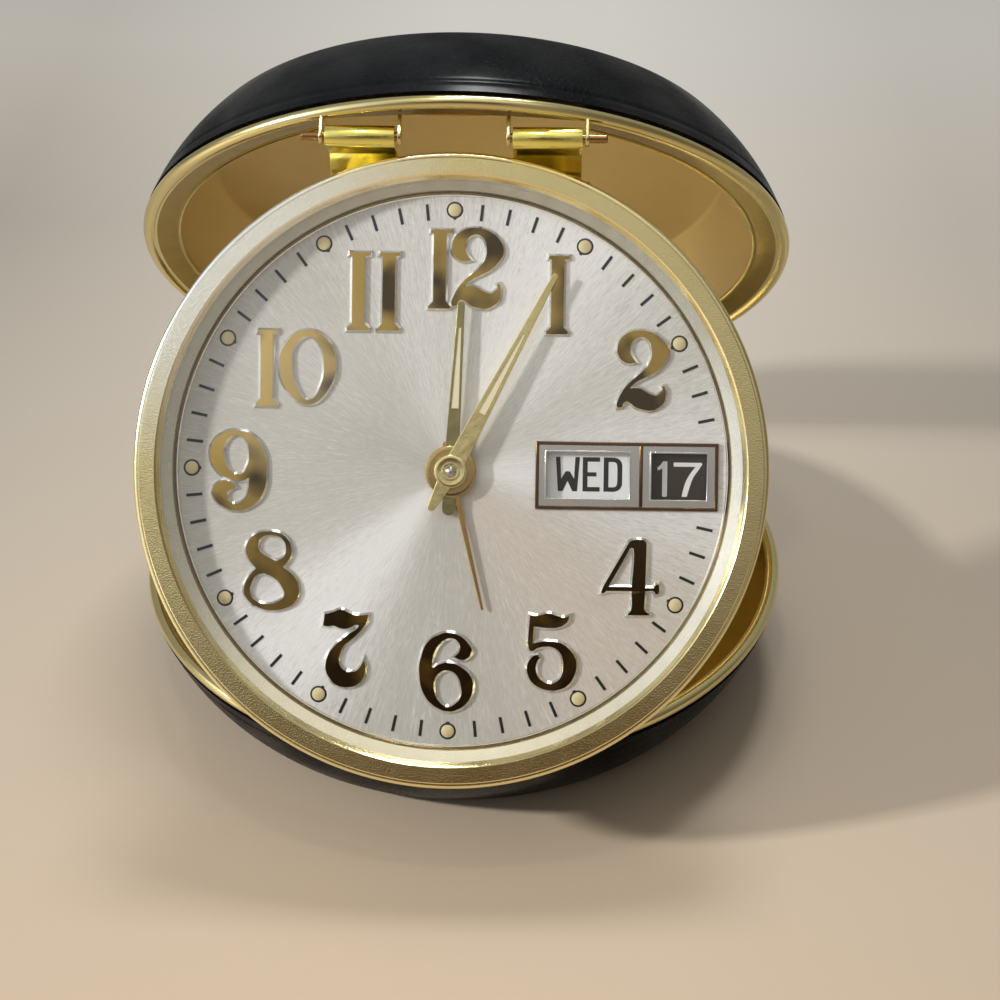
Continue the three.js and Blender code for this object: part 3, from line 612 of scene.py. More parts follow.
def shell_outline(inset):
    x, z, radius = WALL
    start = degrees(asin((SEAM_DEPTH + z) / (radius - inset)))
    points = arc(x, z, radius - inset, -start, -WALL_END, PLAIN_STEPS if inset else CREASED_STEPS)
    if not inset:
        for i, (x, z) in enumerate(points):
            crease = CREASE * exp(-((z + CREASE_DEPTH) / CREASE_WIDTH) ** 2)
            points[i] = (x - crease, z)
    x, z, radius = CORNER
    points += arc(x, z, radius - inset, -WALL_END, -CORNER_END, CORNER_STEPS)[1:]
    end_radius, end_height = points[-1]
    bottom = inset - SHELL_DEPTH
    for i in range(1, DOME_STEPS + 1):
        share = i / DOME_STEPS
        fall = 1 - (1 - share) ** 2
        radius = end_radius + (REST_RADIUS - end_radius) * share
        points.append((radius, end_height + (bottom - end_height) * fall))
    return [*points, (0, bottom)]


def shell_layer(name, outer, inner):
    return turned(name, [*reversed(shell_outline(outer)), *shell_outline(inner)], SHELL_STEPS)


for word, home in (("lower", LOWER), ("upper", UPPER)):
    cover = place(shell_layer("cover", 0, LEATHER), home)
    finished(cover, f"{word}_leather", f"{word}_case", "leather", "leather", f"{word}_leather_cover")

# %% [markdown]
# Inside each shell lies a tray of satin tan metal, a thin layer of the same section. In the upper one the
# wall is nicked where the folded straps come close, with a rounded block as the cutter. Its corners stay
# small, because the folded straps would touch rounder ones.

# %% Trays and the strap opening
GAP = 0.3
STRAP_X, STRAP_WIDTH, STRAP_SHEET, KNUCKLE = 10.2, 7.6, 0.7, 1.2
PIN_HEIGHT, PIN_PROUD = 36.3, 1.4
BEND_DEPTH = 2.8
LEAF = PIN_HEIGHT - KNUCKLE + STRAP_SHEET / 2
OPENING_X = STRAP_X + STRAP_WIDTH / 2 + GAP
OPENING_Y = LEAF + STRAP_SHEET / 2 + GAP
OPENING_TOP, OPENING_CORNER = 1, 0.3


def strap_opening(depth, reach):
    low, high = (-OPENING_X, -reach, -depth), (OPENING_X, -reach / 2, OPENING_TOP)
    return block("opening", low, high, OPENING_CORNER)


for word, home in (("lower", LOWER), ("upper", UPPER)):
    tray = shell_layer("tray", TRAY_INSET, TRAY_INSET + TRAY)
    if word == "upper":
        carve(tray, strap_opening(BEND_DEPTH + STRAP_SHEET + GAP, OPENING_Y + GAP))
    place(tray, home)
    finished(tray, f"{word}_tan_tray", f"{word}_case", "satin_tan", "tan_metal", f"{word}_tray")

# %% [markdown]
# The rim is one pressed ring: a rolled bead over the leather's edge, a polished flange inside it and a small
# lip that is turned down. The flange slopes inwards, so it mirrors the inside of the case and looks dark
# beside the bright bead; its gilt is also painted much darker than the bead's, as a painted reflection of
# that dark inside. Two faint steps at its edges catch the light as thin lines.
# The hinge knuckles and the ears of the strap pins are joined to it, because they are brazed on.

# %% Rims
BEAD, BEAD_STEPS = 0.75, 28
FLANGE_RADIUS, FLANGE_DROP, FLANGE_SHEET, LIP = 35.7, 0.35, 0.45, 0.9
FLANGE_SLOPE, FLANGE_EDGE = 0.6, 0.25
STEP = 0.07
HINGE_Y = hinge.y / MM
HINGE_RADIUS, HINGE_MIDDLE, HINGE_OUTER = 1.05, 8.2, 4.6
EAR, EAR_OFFSET, EAR_RADIUS, EAR_RISE, EAR_FOOT = 0.45, 4.28, 0.9, 0.4, -0.55
PIN_RADIUS, PIN_END = 0.5, 0.1
RUNNING = 0.25


def rim_ring():
    under = -FLANGE_DROP - FLANGE_SHEET
    top = -FLANGE_DROP
    low = top - FLANGE_SLOPE
    start = 180 - degrees(asin((BEAD - FLANGE_DROP) / BEAD))
    end = -180 - degrees(asin((BEAD + under) / BEAD))
    bead = arc(CASE_RADIUS - BEAD, -BEAD, BEAD, start, end, BEAD_STEPS)
    bead_start = bead[0][0]
    edge = arc(FLANGE_RADIUS + FLANGE_EDGE, low - FLANGE_EDGE, FLANGE_EDGE, 180, 90, 5)
    dip = [(FLANGE_RADIUS + 0.5, low), (FLANGE_RADIUS + 0.6, low - STEP), (bead_start - 0.3, top - STEP)]
    inner = FLANGE_RADIUS + FLANGE_SHEET
    lip = [(inner, low - FLANGE_SHEET), (inner, low - LIP / 2), (FLANGE_RADIUS, low - LIP / 2)]
    ring = turned("rim", [*edge, *dip, *bead, *lip, edge[0]], SHELL_STEPS)
    # The flange's faces take a much darker gilt than the bead, partly a painted reflection of the case's
    # inside.
    return two_tone(ring, "rim_gilt", "flange_gilt",
                    lambda radius, z, up: FLANGE_RADIUS + 0.3 < radius < bead_start - 0.4)


def knuckle(start, end):
    barrel = rod("barrel", HINGE_RADIUS, start, end, HINGE_Y, 0, 0.12, 40)
    far = max(abs(start), abs(end))
    bead_y = ((CASE_RADIUS - BEAD) ** 2 - far ** 2) ** 0.5
    web = block("web", (start + 0.1, bead_y, -HINGE_RADIUS), (end - 0.1, HINGE_Y, -FLANGE_DROP), 0.1, 0)
    return [barrel, web]


def ear(x):
    top = arc(-PIN_HEIGHT, PIN_PROUD + EAR_RISE, EAR_RADIUS, 0, 180, 14)
    outline = [*top, (-PIN_HEIGHT - EAR_RADIUS, EAR_FOOT), (-PIN_HEIGHT + EAR_RADIUS, EAR_FOOT)]
    return cross_plate("ear", outline, x - EAR / 2, x + EAR / 2, 0.12)


outer_start = HINGE_MIDDLE / 2 + RUNNING
outer_end = outer_start + HINGE_OUTER
lower_knuckles = knuckle(outer_start, outer_end) + knuckle(-outer_end, -outer_start)
ears = [ear(side * STRAP_X + edge * EAR_OFFSET) for side in (-1, 1) for edge in (-1, 1)]
upper_knuckles = knuckle(-HINGE_MIDDLE / 2, HINGE_MIDDLE / 2) + ears
for word, home, added in (("lower", LOWER, lower_knuckles), ("upper", UPPER, upper_knuckles)):
    ring = carve(rim_ring(), strap_opening(SEAM_DEPTH + FLANGE_SLOPE, OPENING_Y))
    for piece in added:
        piece.data.materials.append(looks["rim_gilt"])
    rim = place(joined([ring, *added]), home)
    finished(rim, f"{word}_gilt_rim", f"{word}_case", None, "gold", f"{word}_rim")
pin = rod("pin", PIN_RADIUS, -outer_end - PIN_END, outer_end + PIN_END, HINGE_Y, 0, 0.25)
finished(place(pin, LOWER), "case_hinge_rod", "lower_case", "brass", "brass", "case_hinge_pin")

# %% [markdown]
# A strap is a strip of sheet brass that is rolled round the pin at its top, runs down behind the bezel and
# is rolled round a second pin there. Its middle line is drawn from the side, extruded across the strap's
# width and given its thickness by Solidify.

# %% Straps and their pins
LOWER_PIN = (31.5, -6.1)
LOWER_KNUCKLE = 1
TOP_PIN_END, FOOT_PIN_END, PIN_ROUND = 2, 0.4, 0.2
ROLL = KNUCKLE - STRAP_SHEET / 2
LOWER_ROLL = LOWER_KNUCKLE - STRAP_SHEET / 2


def strap(x):
    roll = arc(PIN_HEIGHT, PIN_PROUD, ROLL, -100, 180, 22)
    bend = [(LEAF, -BEND_DEPTH + 0.4), (LEAF - 0.1, -BEND_DEPTH), (LEAF - 0.4, -BEND_DEPTH - 0.3)]
    foot = arc(*LOWER_PIN, LOWER_ROLL, 60, -190, 18)
    chain("strap", [(x - STRAP_WIDTH / 2, y, z) for y, z in [*roll, *bend, *foot]])
    extrude(STRAP_WIDTH, 0, 0)
    sheet = modified(tidy(), "SOLIDIFY", thickness=STRAP_SHEET * MM, offset=0)
    return bevelled(sheet, 0.1, 2, 60)


def strap_pin(side, extra, y, z):
    reach = EAR_OFFSET + EAR / 2
    ends = sorted((side * (STRAP_X - reach), side * (STRAP_X + reach + extra)))
    return place(rod("pin", PIN_RADIUS, *ends, y, z, PIN_ROUND), CLOCK)


for word, side in (("left", -1), ("right", 1)):
    on_clock(strap(side * STRAP_X), f"strap_sheet_{word}", "strap_gilt", "gold", f"strap_{word}")
    top_pin = strap_pin(side, TOP_PIN_END, PIN_HEIGHT, PIN_PROUD)
    foot_pin = strap_pin(side, FOOT_PIN_END, *LOWER_PIN)
    # The top pins take a darker gilt than the foot pins, as painted shade.
    finished(top_pin, f"strap_top_rod_{word}", "upper_case", "dark_gilt", "brass", f"strap_upper_pin_{word}")
    finished(foot_pin, f"strap_foot_rod_{word}", "clock", "brass", "brass", f"strap_lower_pin_{word}")

# %% [markdown]
# The bezel is a turned ring: a flat, finely brushed front band with a rounded outer edge and a crisp inner
# one, over a straight wall. It is spun from its section in one go, because every edge of it is a circle.

# %% Bezel
BEZEL_RADIUS, BAND, ROUNDING = 35, 2.6, 0.45
BEZEL_WALL, BEZEL_DEPTH, BACK_RADIUS = 2.2, 3.7, 34.2
SEAT_RADIUS, SEAT_DEPTH = 33.8, 0.7
FINE_STEPS = 216


def bezel_ring():
    outer = arc(BEZEL_RADIUS - ROUNDING, -ROUNDING - STEP, ROUNDING, 90, 0, 10)
    band = BEZEL_RADIUS - BAND
    edge = outer[0][0] - 0.12
    front = [(band, -0.28), (band + 0.12, -0.1), (band + 0.26, 0), (edge - 0.1, 0), (edge, -STEP)]
    wall = [(BEZEL_RADIUS, -BEZEL_WALL), (BEZEL_RADIUS - 0.1, -BEZEL_WALL - 0.15)]
    back = [(BACK_RADIUS, -BEZEL_DEPTH), (SEAT_RADIUS, -BEZEL_DEPTH)]
    seat = [(SEAT_RADIUS, -SEAT_DEPTH), (band - 0.3, -SEAT_DEPTH)]
    return turned("bezel", [*front, *outer, *wall, *back, *seat, front[0]], FINE_STEPS, radians(25))


on_clock(bezel_ring(), "bezel_ring", "champagne", "champagne", "bezel")

# %% [markdown]
# Behind the crystal a silvered conical ring fills the space between bezel and dial. Its slope mirrors the
# surroundings, which makes it dim at the top and bright at the bottom. Its inner lip is painted dark, as
# painted shade of the groove between ring and dial, and shows as a thin line round the dial: the same turned
# piece has a second material on the faces at that radius.

# %% Reflector ring, crystal and dial
CALENDAR = (9.36, 29.6, -4.04, 3.5)
CARD_CORNER = 0.25
CUT_LOW, CUT_HIGH = -4, -2
DIAL_DEPTH, DIAL_BACK = 3, 3.4
CONE = [(32.5, -2.1), (32.4, -2.13), (32.3, -2.2), (31.1, -2.66), (30.98, -2.62), (30.86, -2.64),
        (30.68, -2.84), (30.62, -2.86), (30.56, -2.85)]
RING_FOOT = -2.93
LIP_SHADE_BAND = (30.66, 31.0)
CROWN, CROWN_FALL, CROWN_EDGE, CRYSTAL_SHEET = 0.25, 0.8, 0.5, 0.8


def reflector_ring():
    top = [(RING_OUTER, CONE[0][1]), *CONE, (RING_INNER, RING_FOOT), (RING_OUTER, RING_FOOT)]
    ring = turned("ring", [*top, top[0]], FINE_STEPS, radians(12))
    # The lip takes a dark gilt as painted shade of the groove round the dial.
    return two_tone(ring, "reflector", "lip_gilt",
                    lambda radius, z, up: LIP_SHADE_BAND[0] < radius < LIP_SHADE_BAND[1] and z > RING_FOOT + 0.03)


def crystal_disc():
    top = []
    for share in [i / 16 for i in range(16)] + [0.96 + i * 0.008 for i in range(6)]:
        top.append((RING_OUTER * share, CROWN - CROWN_FALL * share ** 2 - CROWN_EDGE * share ** 36))
    under = [(radius, height - CRYSTAL_SHEET) for radius, height in top]
    return turned("crystal", [*reversed(top), *under], SHELL_STEPS)


def opening(left, right, low, high, corner):
    return block("opening", (left, low, CUT_LOW), (right, high, CUT_HIGH), corner)


def dial_plate():
    section = [(0, -DIAL_BACK), (RING_OUTER, -DIAL_BACK), (RING_OUTER, -DIAL_DEPTH), (0, -DIAL_DEPTH)]
    return carve(turned("dial", section), opening(*CALENDAR, CARD_CORNER))


on_clock(reflector_ring(), "reflector_cone", None, "champagne", "reflector_ring")
on_clock(crystal_disc(), "crystal_dome", "crystal", "crystal", "crystal")
on_clock(dial_plate(), "dial_plate", "dial_silver", "silver", "dial")

# %% [markdown]
# The minute marks are thin black bars and the luminous dots are small cream drops in black rings. One of
# each is modelled and then copied round the dial by a spin that duplicates instead of joining. The marks
# and the dot that would lie under the calendar are left out.
# The places on the dial were measured at the scale of the bezel's front. The dial lies deeper, where the
# camera shows things about one part in ninety smaller, so its details are enlarged by that much.

# %% Minute marks and luminous dots
DEPTH_SCALE = 1.011
DIAL = CLOCK @ Matrix.Diagonal((DEPTH_SCALE, DEPTH_SCALE, 1, 1))
MARK_START, MARK_END, MARK_WIDTH, MARK_RISE = 27.6, 29.4, 0.33, 0.05
DOT_CIRCLE, DOT_RADIUS, DOT_RISE = 28.65, 0.75, 0.24
RING_RADIUS, RING_RISE = 0.93, 0.06
MARKS_LEFT_OUT, DOTS_LEFT_OUT = 4.2, 2
SUNK = 0.02
MINUTE = 2 * pi / 60


def round_dial(steps, angle, left_out):
    edit()
    bpy.ops.mesh.spin(steps=steps, angle=angle, center=(0, 0, 0), axis=(0, 0, 1), dupli=True)
    bpy.ops.mesh.select_all(action="SELECT")
    bpy.ops.mesh.remove_doubles(threshold=JOIN)
    mesh = bmesh.from_edit_mesh(bpy.context.object.data)
    for vertex in mesh.verts:
        vertex.select = left_out and vertex.co.x > 0 and abs(vertex.co.y) < left_out * MM
    mesh.select_flush(True)
    bmesh.update_edit_mesh(bpy.context.object.data)
    bpy.ops.mesh.delete(type="VERT")
    bpy.ops.object.mode_set(mode="OBJECT")


def minute_marks():
    half = MARK_WIDTH / 2
    corners = [(-half, MARK_START), (half, MARK_START), (half, MARK_END), (-half, MARK_END)]
    marks = plate("marks", corners, -DIAL_DEPTH - SUNK, -DIAL_DEPTH + MARK_RISE, 0.02)
    place(marks, Matrix.Rotation(-MINUTE, 4, "Z"))
    round_dial(4, -MINUTE * 4, 0)
    round_dial(12, 2 * pi, MARKS_LEFT_OUT)
    return marks


def drops(radius, height):
    turns = [radians(turn) for turn in (0, 30, 60)]
    rise = [(radius * cos(turn), -DIAL_DEPTH + height * sin(turn)) for turn in turns]
    profile = [(0, -DIAL_DEPTH - SUNK), (radius, -DIAL_DEPTH - SUNK), *rise, (0, -DIAL_DEPTH + height)]
    drop = place(turned("dots", profile, 20), moved(0, DOT_CIRCLE, 0))
    round_dial(12, 2 * pi, DOTS_LEFT_OUT)
    return drop


finished(place(minute_marks(), DIAL), "minute_marks", "clock", "black_ink", "ink")
finished(place(drops(RING_RADIUS, RING_RISE), DIAL), "dot_rings", "clock", "black_ink", "ink")
finished(place(drops(DOT_RADIUS, DOT_RISE), DIAL), "luminous_dots", "clock", "yellow_cream_paint", "paper")

# %% [markdown]
# The numerals are applied: each is a small raised plate with sloping silver sides and a gilt top. The
# near-white silver of the sides is their painted highlight. They are drawn as curves, because a Bezier
# outline needs only a few points. In each list the numbers are hundredths of the numeral's height, counted
# from the middle of its box, and ! marks a sharp corner. The gilt of the tops carries painted reflections,
# in patches of a few millimetres from dark olive brown to amber, lighter towards the upper left of the dial.

# %% Numeral outlines
NUMERAL_SHARES = {
    "1": ["!-11,50 !14,50 !14,46 !8,45 !8,-41 !14,-47 !13,-50 !-14,-50 !-14,-47 !-8,-41 !-8,45 !-12,46"],
    "2": ["!-31,-47 -32,-43 -29,-34 -23,-23 -16,-15 -7,-7 2,1 8,9 11,18 11,26 9,34 5,39 -2,42 -10,39 -15,33 "
          "-16,27 -15,20 -12,15 !-8,10 -12,9 -20,9 -28,14 -32,22 -32,28 -29,38 -23,44 -13,49 -3,50 9,48 "
          "19,43 28,34 32,25 31,16 25,7 16,-2 5,-8 -7,-14 !-17,-23 -9,-22 -2,-23 5,-27 12,-30 17,-31 22,-28 "
          "25,-24 !24,-20 !27,-19 29,-24 29,-31 27,-40 20,-46 11,-50 2,-49 -8,-46 -15,-41 -20,-39 -24,-42 "
          "!-25,-46"],
    "0": ["-2,50 23,40 38,9 28,-30 2,-50 -24,-35 -38,-1 -29,33",
          "2,42 15,32 22,6 18,-24 2,-44 -14,-28 -21,3 -17,30"],
    "4": ["!-39,-21 -37,-15 !-35,-10 !-2,48 2,50 18,50 !21,46 !20,-13 !31,-13 35,-9 !38,-8 39,-15 !38,-21 "
          "!34,-22 32,-18 !20,-18 !19,-42 22,-46 !26,-48 !26,-50 !-3,-50 !-2,-48 1,-44 !2,-18 !-32,-18 "
          "-35,-21",
          "!-29,-12 !-1,39 2,40 4,36 !2,-12"],
    "5": ["!-29,48 -19,47 -5,50 6,47 15,45 !22,47 19,39 10,33 -5,31 -16,32 !-24,33 !-25,10 -16,13 -2,14 "
          "13,11 25,1 31,-9 32,-20 29,-31 22,-42 12,-48 -2,-50 -14,-47 -25,-40 -31,-29 -32,-20 -29,-11 "
          "-23,-5 !-18,-4 !-16,-8 -20,-16 -20,-26 -15,-35 -3,-41 7,-38 13,-30 15,-19 14,-8 9,1 1,6 -8,7 "
          "-18,5 -27,1 -30,4"],
    "6": ["1,50 17,46 27,37 32,27 23,16 !9,19 16,26 16,36 5,43 -8,36 -16,22 !-18,4 -8,10 4,12 21,5 32,-7 "
          "34,-20 28,-37 16,-47 3,-50 -12,-45 -26,-32 -34,-7 -32,20 -23,39 -10,47",
          "2,2 14,-5 19,-20 19,-30 12,-40 3,-44 -9,-37 -15,-23 -14,-9 -8,-1"],
    "7": ["!-27,44 -18,46 -5,50 4,46 14,43 !29,44 27,34 22,26 15,18 6,10 -2,3 -6,-6 -8,-14 -6,-23 1,-29 "
          "7,-30 14,-29 19,-24 !24,-15 26,-21 26,-28 24,-37 15,-47 2,-50 -12,-47 -21,-37 -25,-28 -25,-19 "
          "-22,-8 -15,2 -5,11 5,19 14,25 !17,29 !16,31 11,30 6,27 -1,25 -8,26 -16,29 -22,28 !-29,29"],
    "8": ["-2,50 16,44 25,27 22,15 !14,5 28,-6 35,-23 30,-39 18,-47 2,-50 -15,-47 -29,-38 -35,-24 -30,-9 "
          "!-20,3 -30,16 -33,29 -24,44",
          "0,45 12,41 18,28 15,18 !6,12 -6,18 -16,26 -17,36 -10,44",
          "!-10,-3 3,-9 13,-20 16,-31 8,-39 -7,-42 -20,-38 -27,-28 -25,-15 -19,-6"],
    "9": ["-4,50 17,44 31,26 35,1 32,-26 19,-43 -1,-50 -20,-44 -30,-34 -31,-23 -24,-15 -12,-13 !-2,-21 "
          "-11,-25 -14,-32 -9,-40 1,-41 10,-32 !14,-8 5,-13 -10,-11 -26,-2 -35,16 -33,33 -20,46",
          "-3,44 8,39 13,22 11,6 2,-5 -11,0 -18,16 -16,35"],
}
print(len(NUMERAL_SHARES), "different figures")

# %% [markdown]
# Each place is the middle of the figure's box and its height, all in millimetres on the dial. The curve is
# extruded and bevelled outwards, made a mesh, and the faces that look straight up get the gilt; the other
# faces get the silver of the painted highlight.

# %% Numerals
NUMERALS = {
    "twelve": [("1", -1.56, 22.14, 8.61), ("2", 2.59, 22.27, 8.83)],
    "one": [("1", 11.39, 19.47, 8.56)],
    "two": [("2", 20.83, 11.34, 8.75)],
    "four": [("4", 19.84, -11.38, 8.2)],
    "five": [("5", 11.36, -19.69, 8.49)],
    "six": [("6", -0.23, -22.09, 8.7)],
    "seven": [("7", -11.4, -19.67, 8.56)],
    "eight": [("8", -19.64, -11.25, 8.72)],
    "nine": [("9", -23.46, -0.23, 8.85)],
    "ten": [("1", -20.46, 11.08, 8.35), ("0", -15.96, 11.21, 8.19)],
    "eleven": [("1", -10.47, 19.61, 8.54), ("1", -7.14, 19.61, 8.54)],
}
NUMERAL_SLOPE, NUMERAL_WALL = 0.24, 0.12
FACING_UP = 0.95


def numeral_finish():
    finish = Finish("numeral_gilt_painted_reflections", metallic=1.0)
    spot = finish.spot(CLOCK)
    x, y, _ = finish.parts(finish.direction(spot))
    # Painted reflection: patches of dark olive brown and amber, lighter towards the upper left.
    patch = finish.ramp(finish.noise(spot, 150, 2, 0.5) + (y * 0.7 - x) * 0.08, (0.45, 0.0), (0.6, 1.0))
    tint = finish.noise(spot, 60, 1)
    dark = finish.mix(tint, (0.09, 0.045, 0.02), (0.09, 0.075, 0.025))
    light = finish.mix(tint, (0.66, 0.44, 0.1), (0.48, 0.35, 0.12))
    finish.set(base_color=finish.mix(patch, dark, light))
    finish.set(roughness=0.1 + finish.noise(spot, 900, 3) * 0.1)
    return finish.material


def figure(shares, height, wall, slope):
    curve = bpy.data.curves.new("figure", "CURVE")
    curve.dimensions = "2D"
    curve.fill_mode = "BOTH"
    curve.resolution_u = 5
    curve.extrude = wall * MM
    curve.bevel_depth = slope * MM
    curve.bevel_resolution = 0
    for line in shares:
        words = line.split()
        spline = curve.splines.new("BEZIER")
        spline.bezier_points.add(len(words) - 1)
        spline.use_cyclic_u = True
        for point, word in zip(spline.bezier_points, words):
            x, y = [float(number) / 100 * height * MM for number in word.strip("!").split(",")]
            point.co = (x, y, 0)
            kind = "VECTOR" if word.startswith("!") else "AUTO"
            point.handle_left_type = kind
            point.handle_right_type = kind
    activate(linked("figure", curve))
    bpy.ops.object.convert(target="MESH")
    return bpy.context.object


def figures_at(places, outlines, depth, wall, slope=0):
    return joined([place(figure(outlines[word], height, wall, slope), moved(x, y, -depth))
                   for word, x, y, height in places])


looks["numeral_gilt"] = numeral_finish()
for word, places in NUMERALS.items():
    figures_at(places, NUMERAL_SHARES, DIAL_DEPTH, NUMERAL_WALL, NUMERAL_SLOPE)
    edit()
    # The near-white silver of the sides is their painted highlight; the tops take the gilt.
    numeral = two_tone(tidy(radians(20)), "numeral_silver", "numeral_gilt",
                       lambda radius, z, up: up > FACING_UP)
    finished(place(numeral, DIAL), f"numeral_{word}", "clock", None, "gold")

# %% [markdown]
# The calendar is a small plate with two windows. Its outline and the bar between the windows are a polished
# raised strip, and each window has a thin lip round it. The plate is cut by boolean, and the strips are
# frames: a rectangle with an inset, whose middle is taken out before it is extruded.

# %% Calendar frame
WINDOWS = [(10.58, 19.78, -2.83, 2.33), (22.2, 28.35, -2.83, 2.33)]
WINDOW_CORNER = 0.15
PLATE_TOP, PLATE_BOTTOM = -2.8, -3.2
BORDER, BORDER_RISE = 0.4, 0.14
BAR, BAR_RISE, BAR_INSET = (20.85, 21.27), 0.12, 0.2
LIP_OUTSIDE, LIP_WIDTH, LIP_RISE, LIP_FOOT = 0.18, 0.2, 0.07, -3.3


def strip_frame(name, left, right, low, high, width, bottom, top, bevel):
    middle = ((left + right) / 2, (low + high) / 2, bottom)
    primitive(name, bpy.ops.mesh.primitive_plane_add, middle, (right - left, high - low, 1))
    edit()
    bpy.ops.mesh.inset(thickness=width * MM)
    bpy.ops.mesh.delete(type="FACE")
    bpy.ops.mesh.select_all(action="SELECT")
    extrude(0, 0, top - bottom)
    return bevelled(tidy(), bevel, 3)


def window_lip(left, right, low, high):
    out = LIP_OUTSIDE
    return strip_frame("lip", left - out, right + out, low - out, high + out,
                       LIP_WIDTH, LIP_FOOT, PLATE_TOP + LIP_RISE, 0.05)


left, right, low, high = CALENDAR
card = block("card", (left, low, PLATE_BOTTOM), (right, high, PLATE_TOP), CARD_CORNER)
for window in WINDOWS:
    carve(card, opening(*window, WINDOW_CORNER))
on_clock(bevelled(card, 0.05), "calendar_plate", "silver", "silver", "calendar_frame")
border = strip_frame("border", *CALENDAR, BORDER, PLATE_BOTTOM, PLATE_TOP + BORDER_RISE, 0.11)
bar = block("bar", (BAR[0], low + BAR_INSET, PLATE_BOTTOM), (BAR[1], high - BAR_INSET, PLATE_TOP + BAR_RISE))
on_clock(joined([border, bevelled(bar, 0.1, 3)]), "calendar_border", "border_gilt", "gold")
on_clock(joined([window_lip(*window) for window in WINDOWS]), "window_lips", "silver", "silver")

# %% [markdown]
# The day and the date are printed on two discs behind the windows, in plain condensed letters. No type has
# quite this shape, so they are drawn in the same way as the numerals, but flat. Each is laid on its disc
# and turns with it.

# %% Printed day and date
DISC_DEPTH = 3.7
PRINT_SHARES = {
    "W": ["!-35,50 !-22,50 !-19,-14 !-6,8 !6,8 !19,-14 !22,50 !35,50 !28,-50 !14,-50 !0,-20 !-14,-50 "
          "!-28,-50"],
    "E": ["!-25,50 !25,50 !25,37 !-11,37 !-11,6 !15,6 !15,-6 !-11,-6 !-11,-37 !25,-37 !25,-50 !-25,-50"],
    "D": ["!-27,50 !4,50 17,45 26,32 !27,18 !27,-18 26,-32 17,-45 !4,-50 !-27,-50",
          "!-13,37 !2,37 9,34 12,27 !13,16 !13,-16 12,-27 9,-34 !2,-37 !-13,-37"],
    "1": ["!7,48 !7,-48 4,-50 -4,-50 !-7,-48 !-7,30 -14,26 !-20,24 !-21,32 -13,39 !-5,50 !5,50"],
    "7": ["!-41,50 !40,50 !42,45 32,30 16,6 6,-22 !-2,-50 !-17,-50 -12,-26 -3,0 10,22 !22,38 !-41,38 "
          "!-42,44"],
}
PRINTS = {
    "day": [("W", 12.8, -0.11, 3.77), ("E", 15.4, -0.11, 3.77), ("D", 17.78, -0.11, 3.77)],
    "date": [("1", 23.47, -0.5, 3.9), ("7", 26.0, -0.55, 3.76)],
}
PRINT_THICKNESS = 0.02

for word, look, slot in (("day", "black_ink", "ink"), ("date", "white_paper", "paper")):
    words = place(figures_at(PRINTS[word], PRINT_SHARES, DISC_DEPTH, PRINT_THICKNESS), DIAL)
    finished(words, f"printed_{word}", f"{word}_disc", look, slot)

# %% [markdown]
# The hands are stamped from thin sheet and gilt. Each outline is drawn pointing to twelve: half of it is a
# list of places along the hand with its width there, and the other half mirrors it. A slot filled with
# luminous paint runs down the hour and the minute hand. The hub is a turned disc on the same axis.

# %% Hands
HAND_SHEET, HUB_BORE = 0.22, 0.75
PAINT_ABOVE, PAINT_BELOW = 0.03, 0.05
POST_RADIUS, POST_SHOULDER, POST_FOOT = 0.68, -1.75, -4.2
HANDS = {
    "hour_hand": {"finishes": ("olive_hand", "hub_gilt"), "depth": 1.97, "hub": 2.87,
                  "tail": 4.9, "tail_width": 1.45, "tail_flare": 0,
                  "widths": [(3, 1.55), (7, 1.35), (18.8, 0.8)], "slot": (7.0, 15.9, 0.8, 0.28)},
    "minute_hand": {"finishes": ("pale_hand", "pale_hand"), "depth": 1.5, "hub": 1.85,
                    "tail": 4.95, "tail_width": 0.9, "tail_flare": 0.45,
                    "widths": [(1.4, 2.1), (3, 2.0), (24.7, 0.62)], "slot": (7.3, 17.1, 0.78, 0.2)},
    "alarm_hand": {"finishes": ("red_hand", "red_hand"), "depth": 2.42, "hub": 1.9,
                   "tail": 3.4, "tail_width": 0.6, "tail_flare": 0,
                   "widths": [(2, 0.72), (15.8, 0.3)], "slot": None},
}
HAND_TURNS = {"hour_hand": 2.8, "minute_hand": 27.4, "alarm_hand": 166.5}


def slot_plate(name, start, end, wide, narrow, bottom, top):
    outline = [(-wide / 2, start), (wide / 2, start), (narrow / 2, end), (-narrow / 2, end)]
    return plate(name, outline, bottom, top)


def blade_outline(tail, tail_width, widths, tail_flare):
    half = tail_width / 2
    side = [(width / 2, y) for y, width in widths]
    tip_y, tip_width = widths[-1]
    tip = arc(0, tip_y - tip_width / 2, tip_width / 2, 0, 90, 4)[1:]
    heel = arc(0, -tail + half, half, -90, 0, 5)
    waist = [(half + tail_flare, -1.2)] if tail_flare else []
    right_side = [*heel, *waist, *side[:-1], (tip_width / 2, tip_y - tip_width / 2), *tip]
    return [*right_side, *[(-x, y) for x, y in reversed(right_side[1:-1])]]


def hand(widths, tail, tail_width, tail_flare, hub, depth, slot, finishes):
    top, bottom = -depth, -depth - HAND_SHEET
    blade = plate("blade", blade_outline(tail, tail_width, widths, tail_flare), bottom, top)
    if slot:
        carve(blade, slot_plate("slot", *slot, top - 1, top + 1))
    bevelled(blade, 0.07, 2, 50)
    rise = [(HUB_BORE, bottom), (hub - 0.08, bottom), (hub, top - 0.1), (hub - 0.05, top + 0.02)]
    dish = [(hub - 0.16, top + 0.07), (hub - 0.45, top + 0.08), (1.25, top + 0.03), (0.95, top + 0.08)]
    disc = turned("hub", [*rise, *dish, (HUB_BORE, top + 0.06), rise[0]], 64)
    for piece, look in zip((blade, disc), finishes):
        piece.data.materials.append(looks[look])
    return joined([blade, disc])


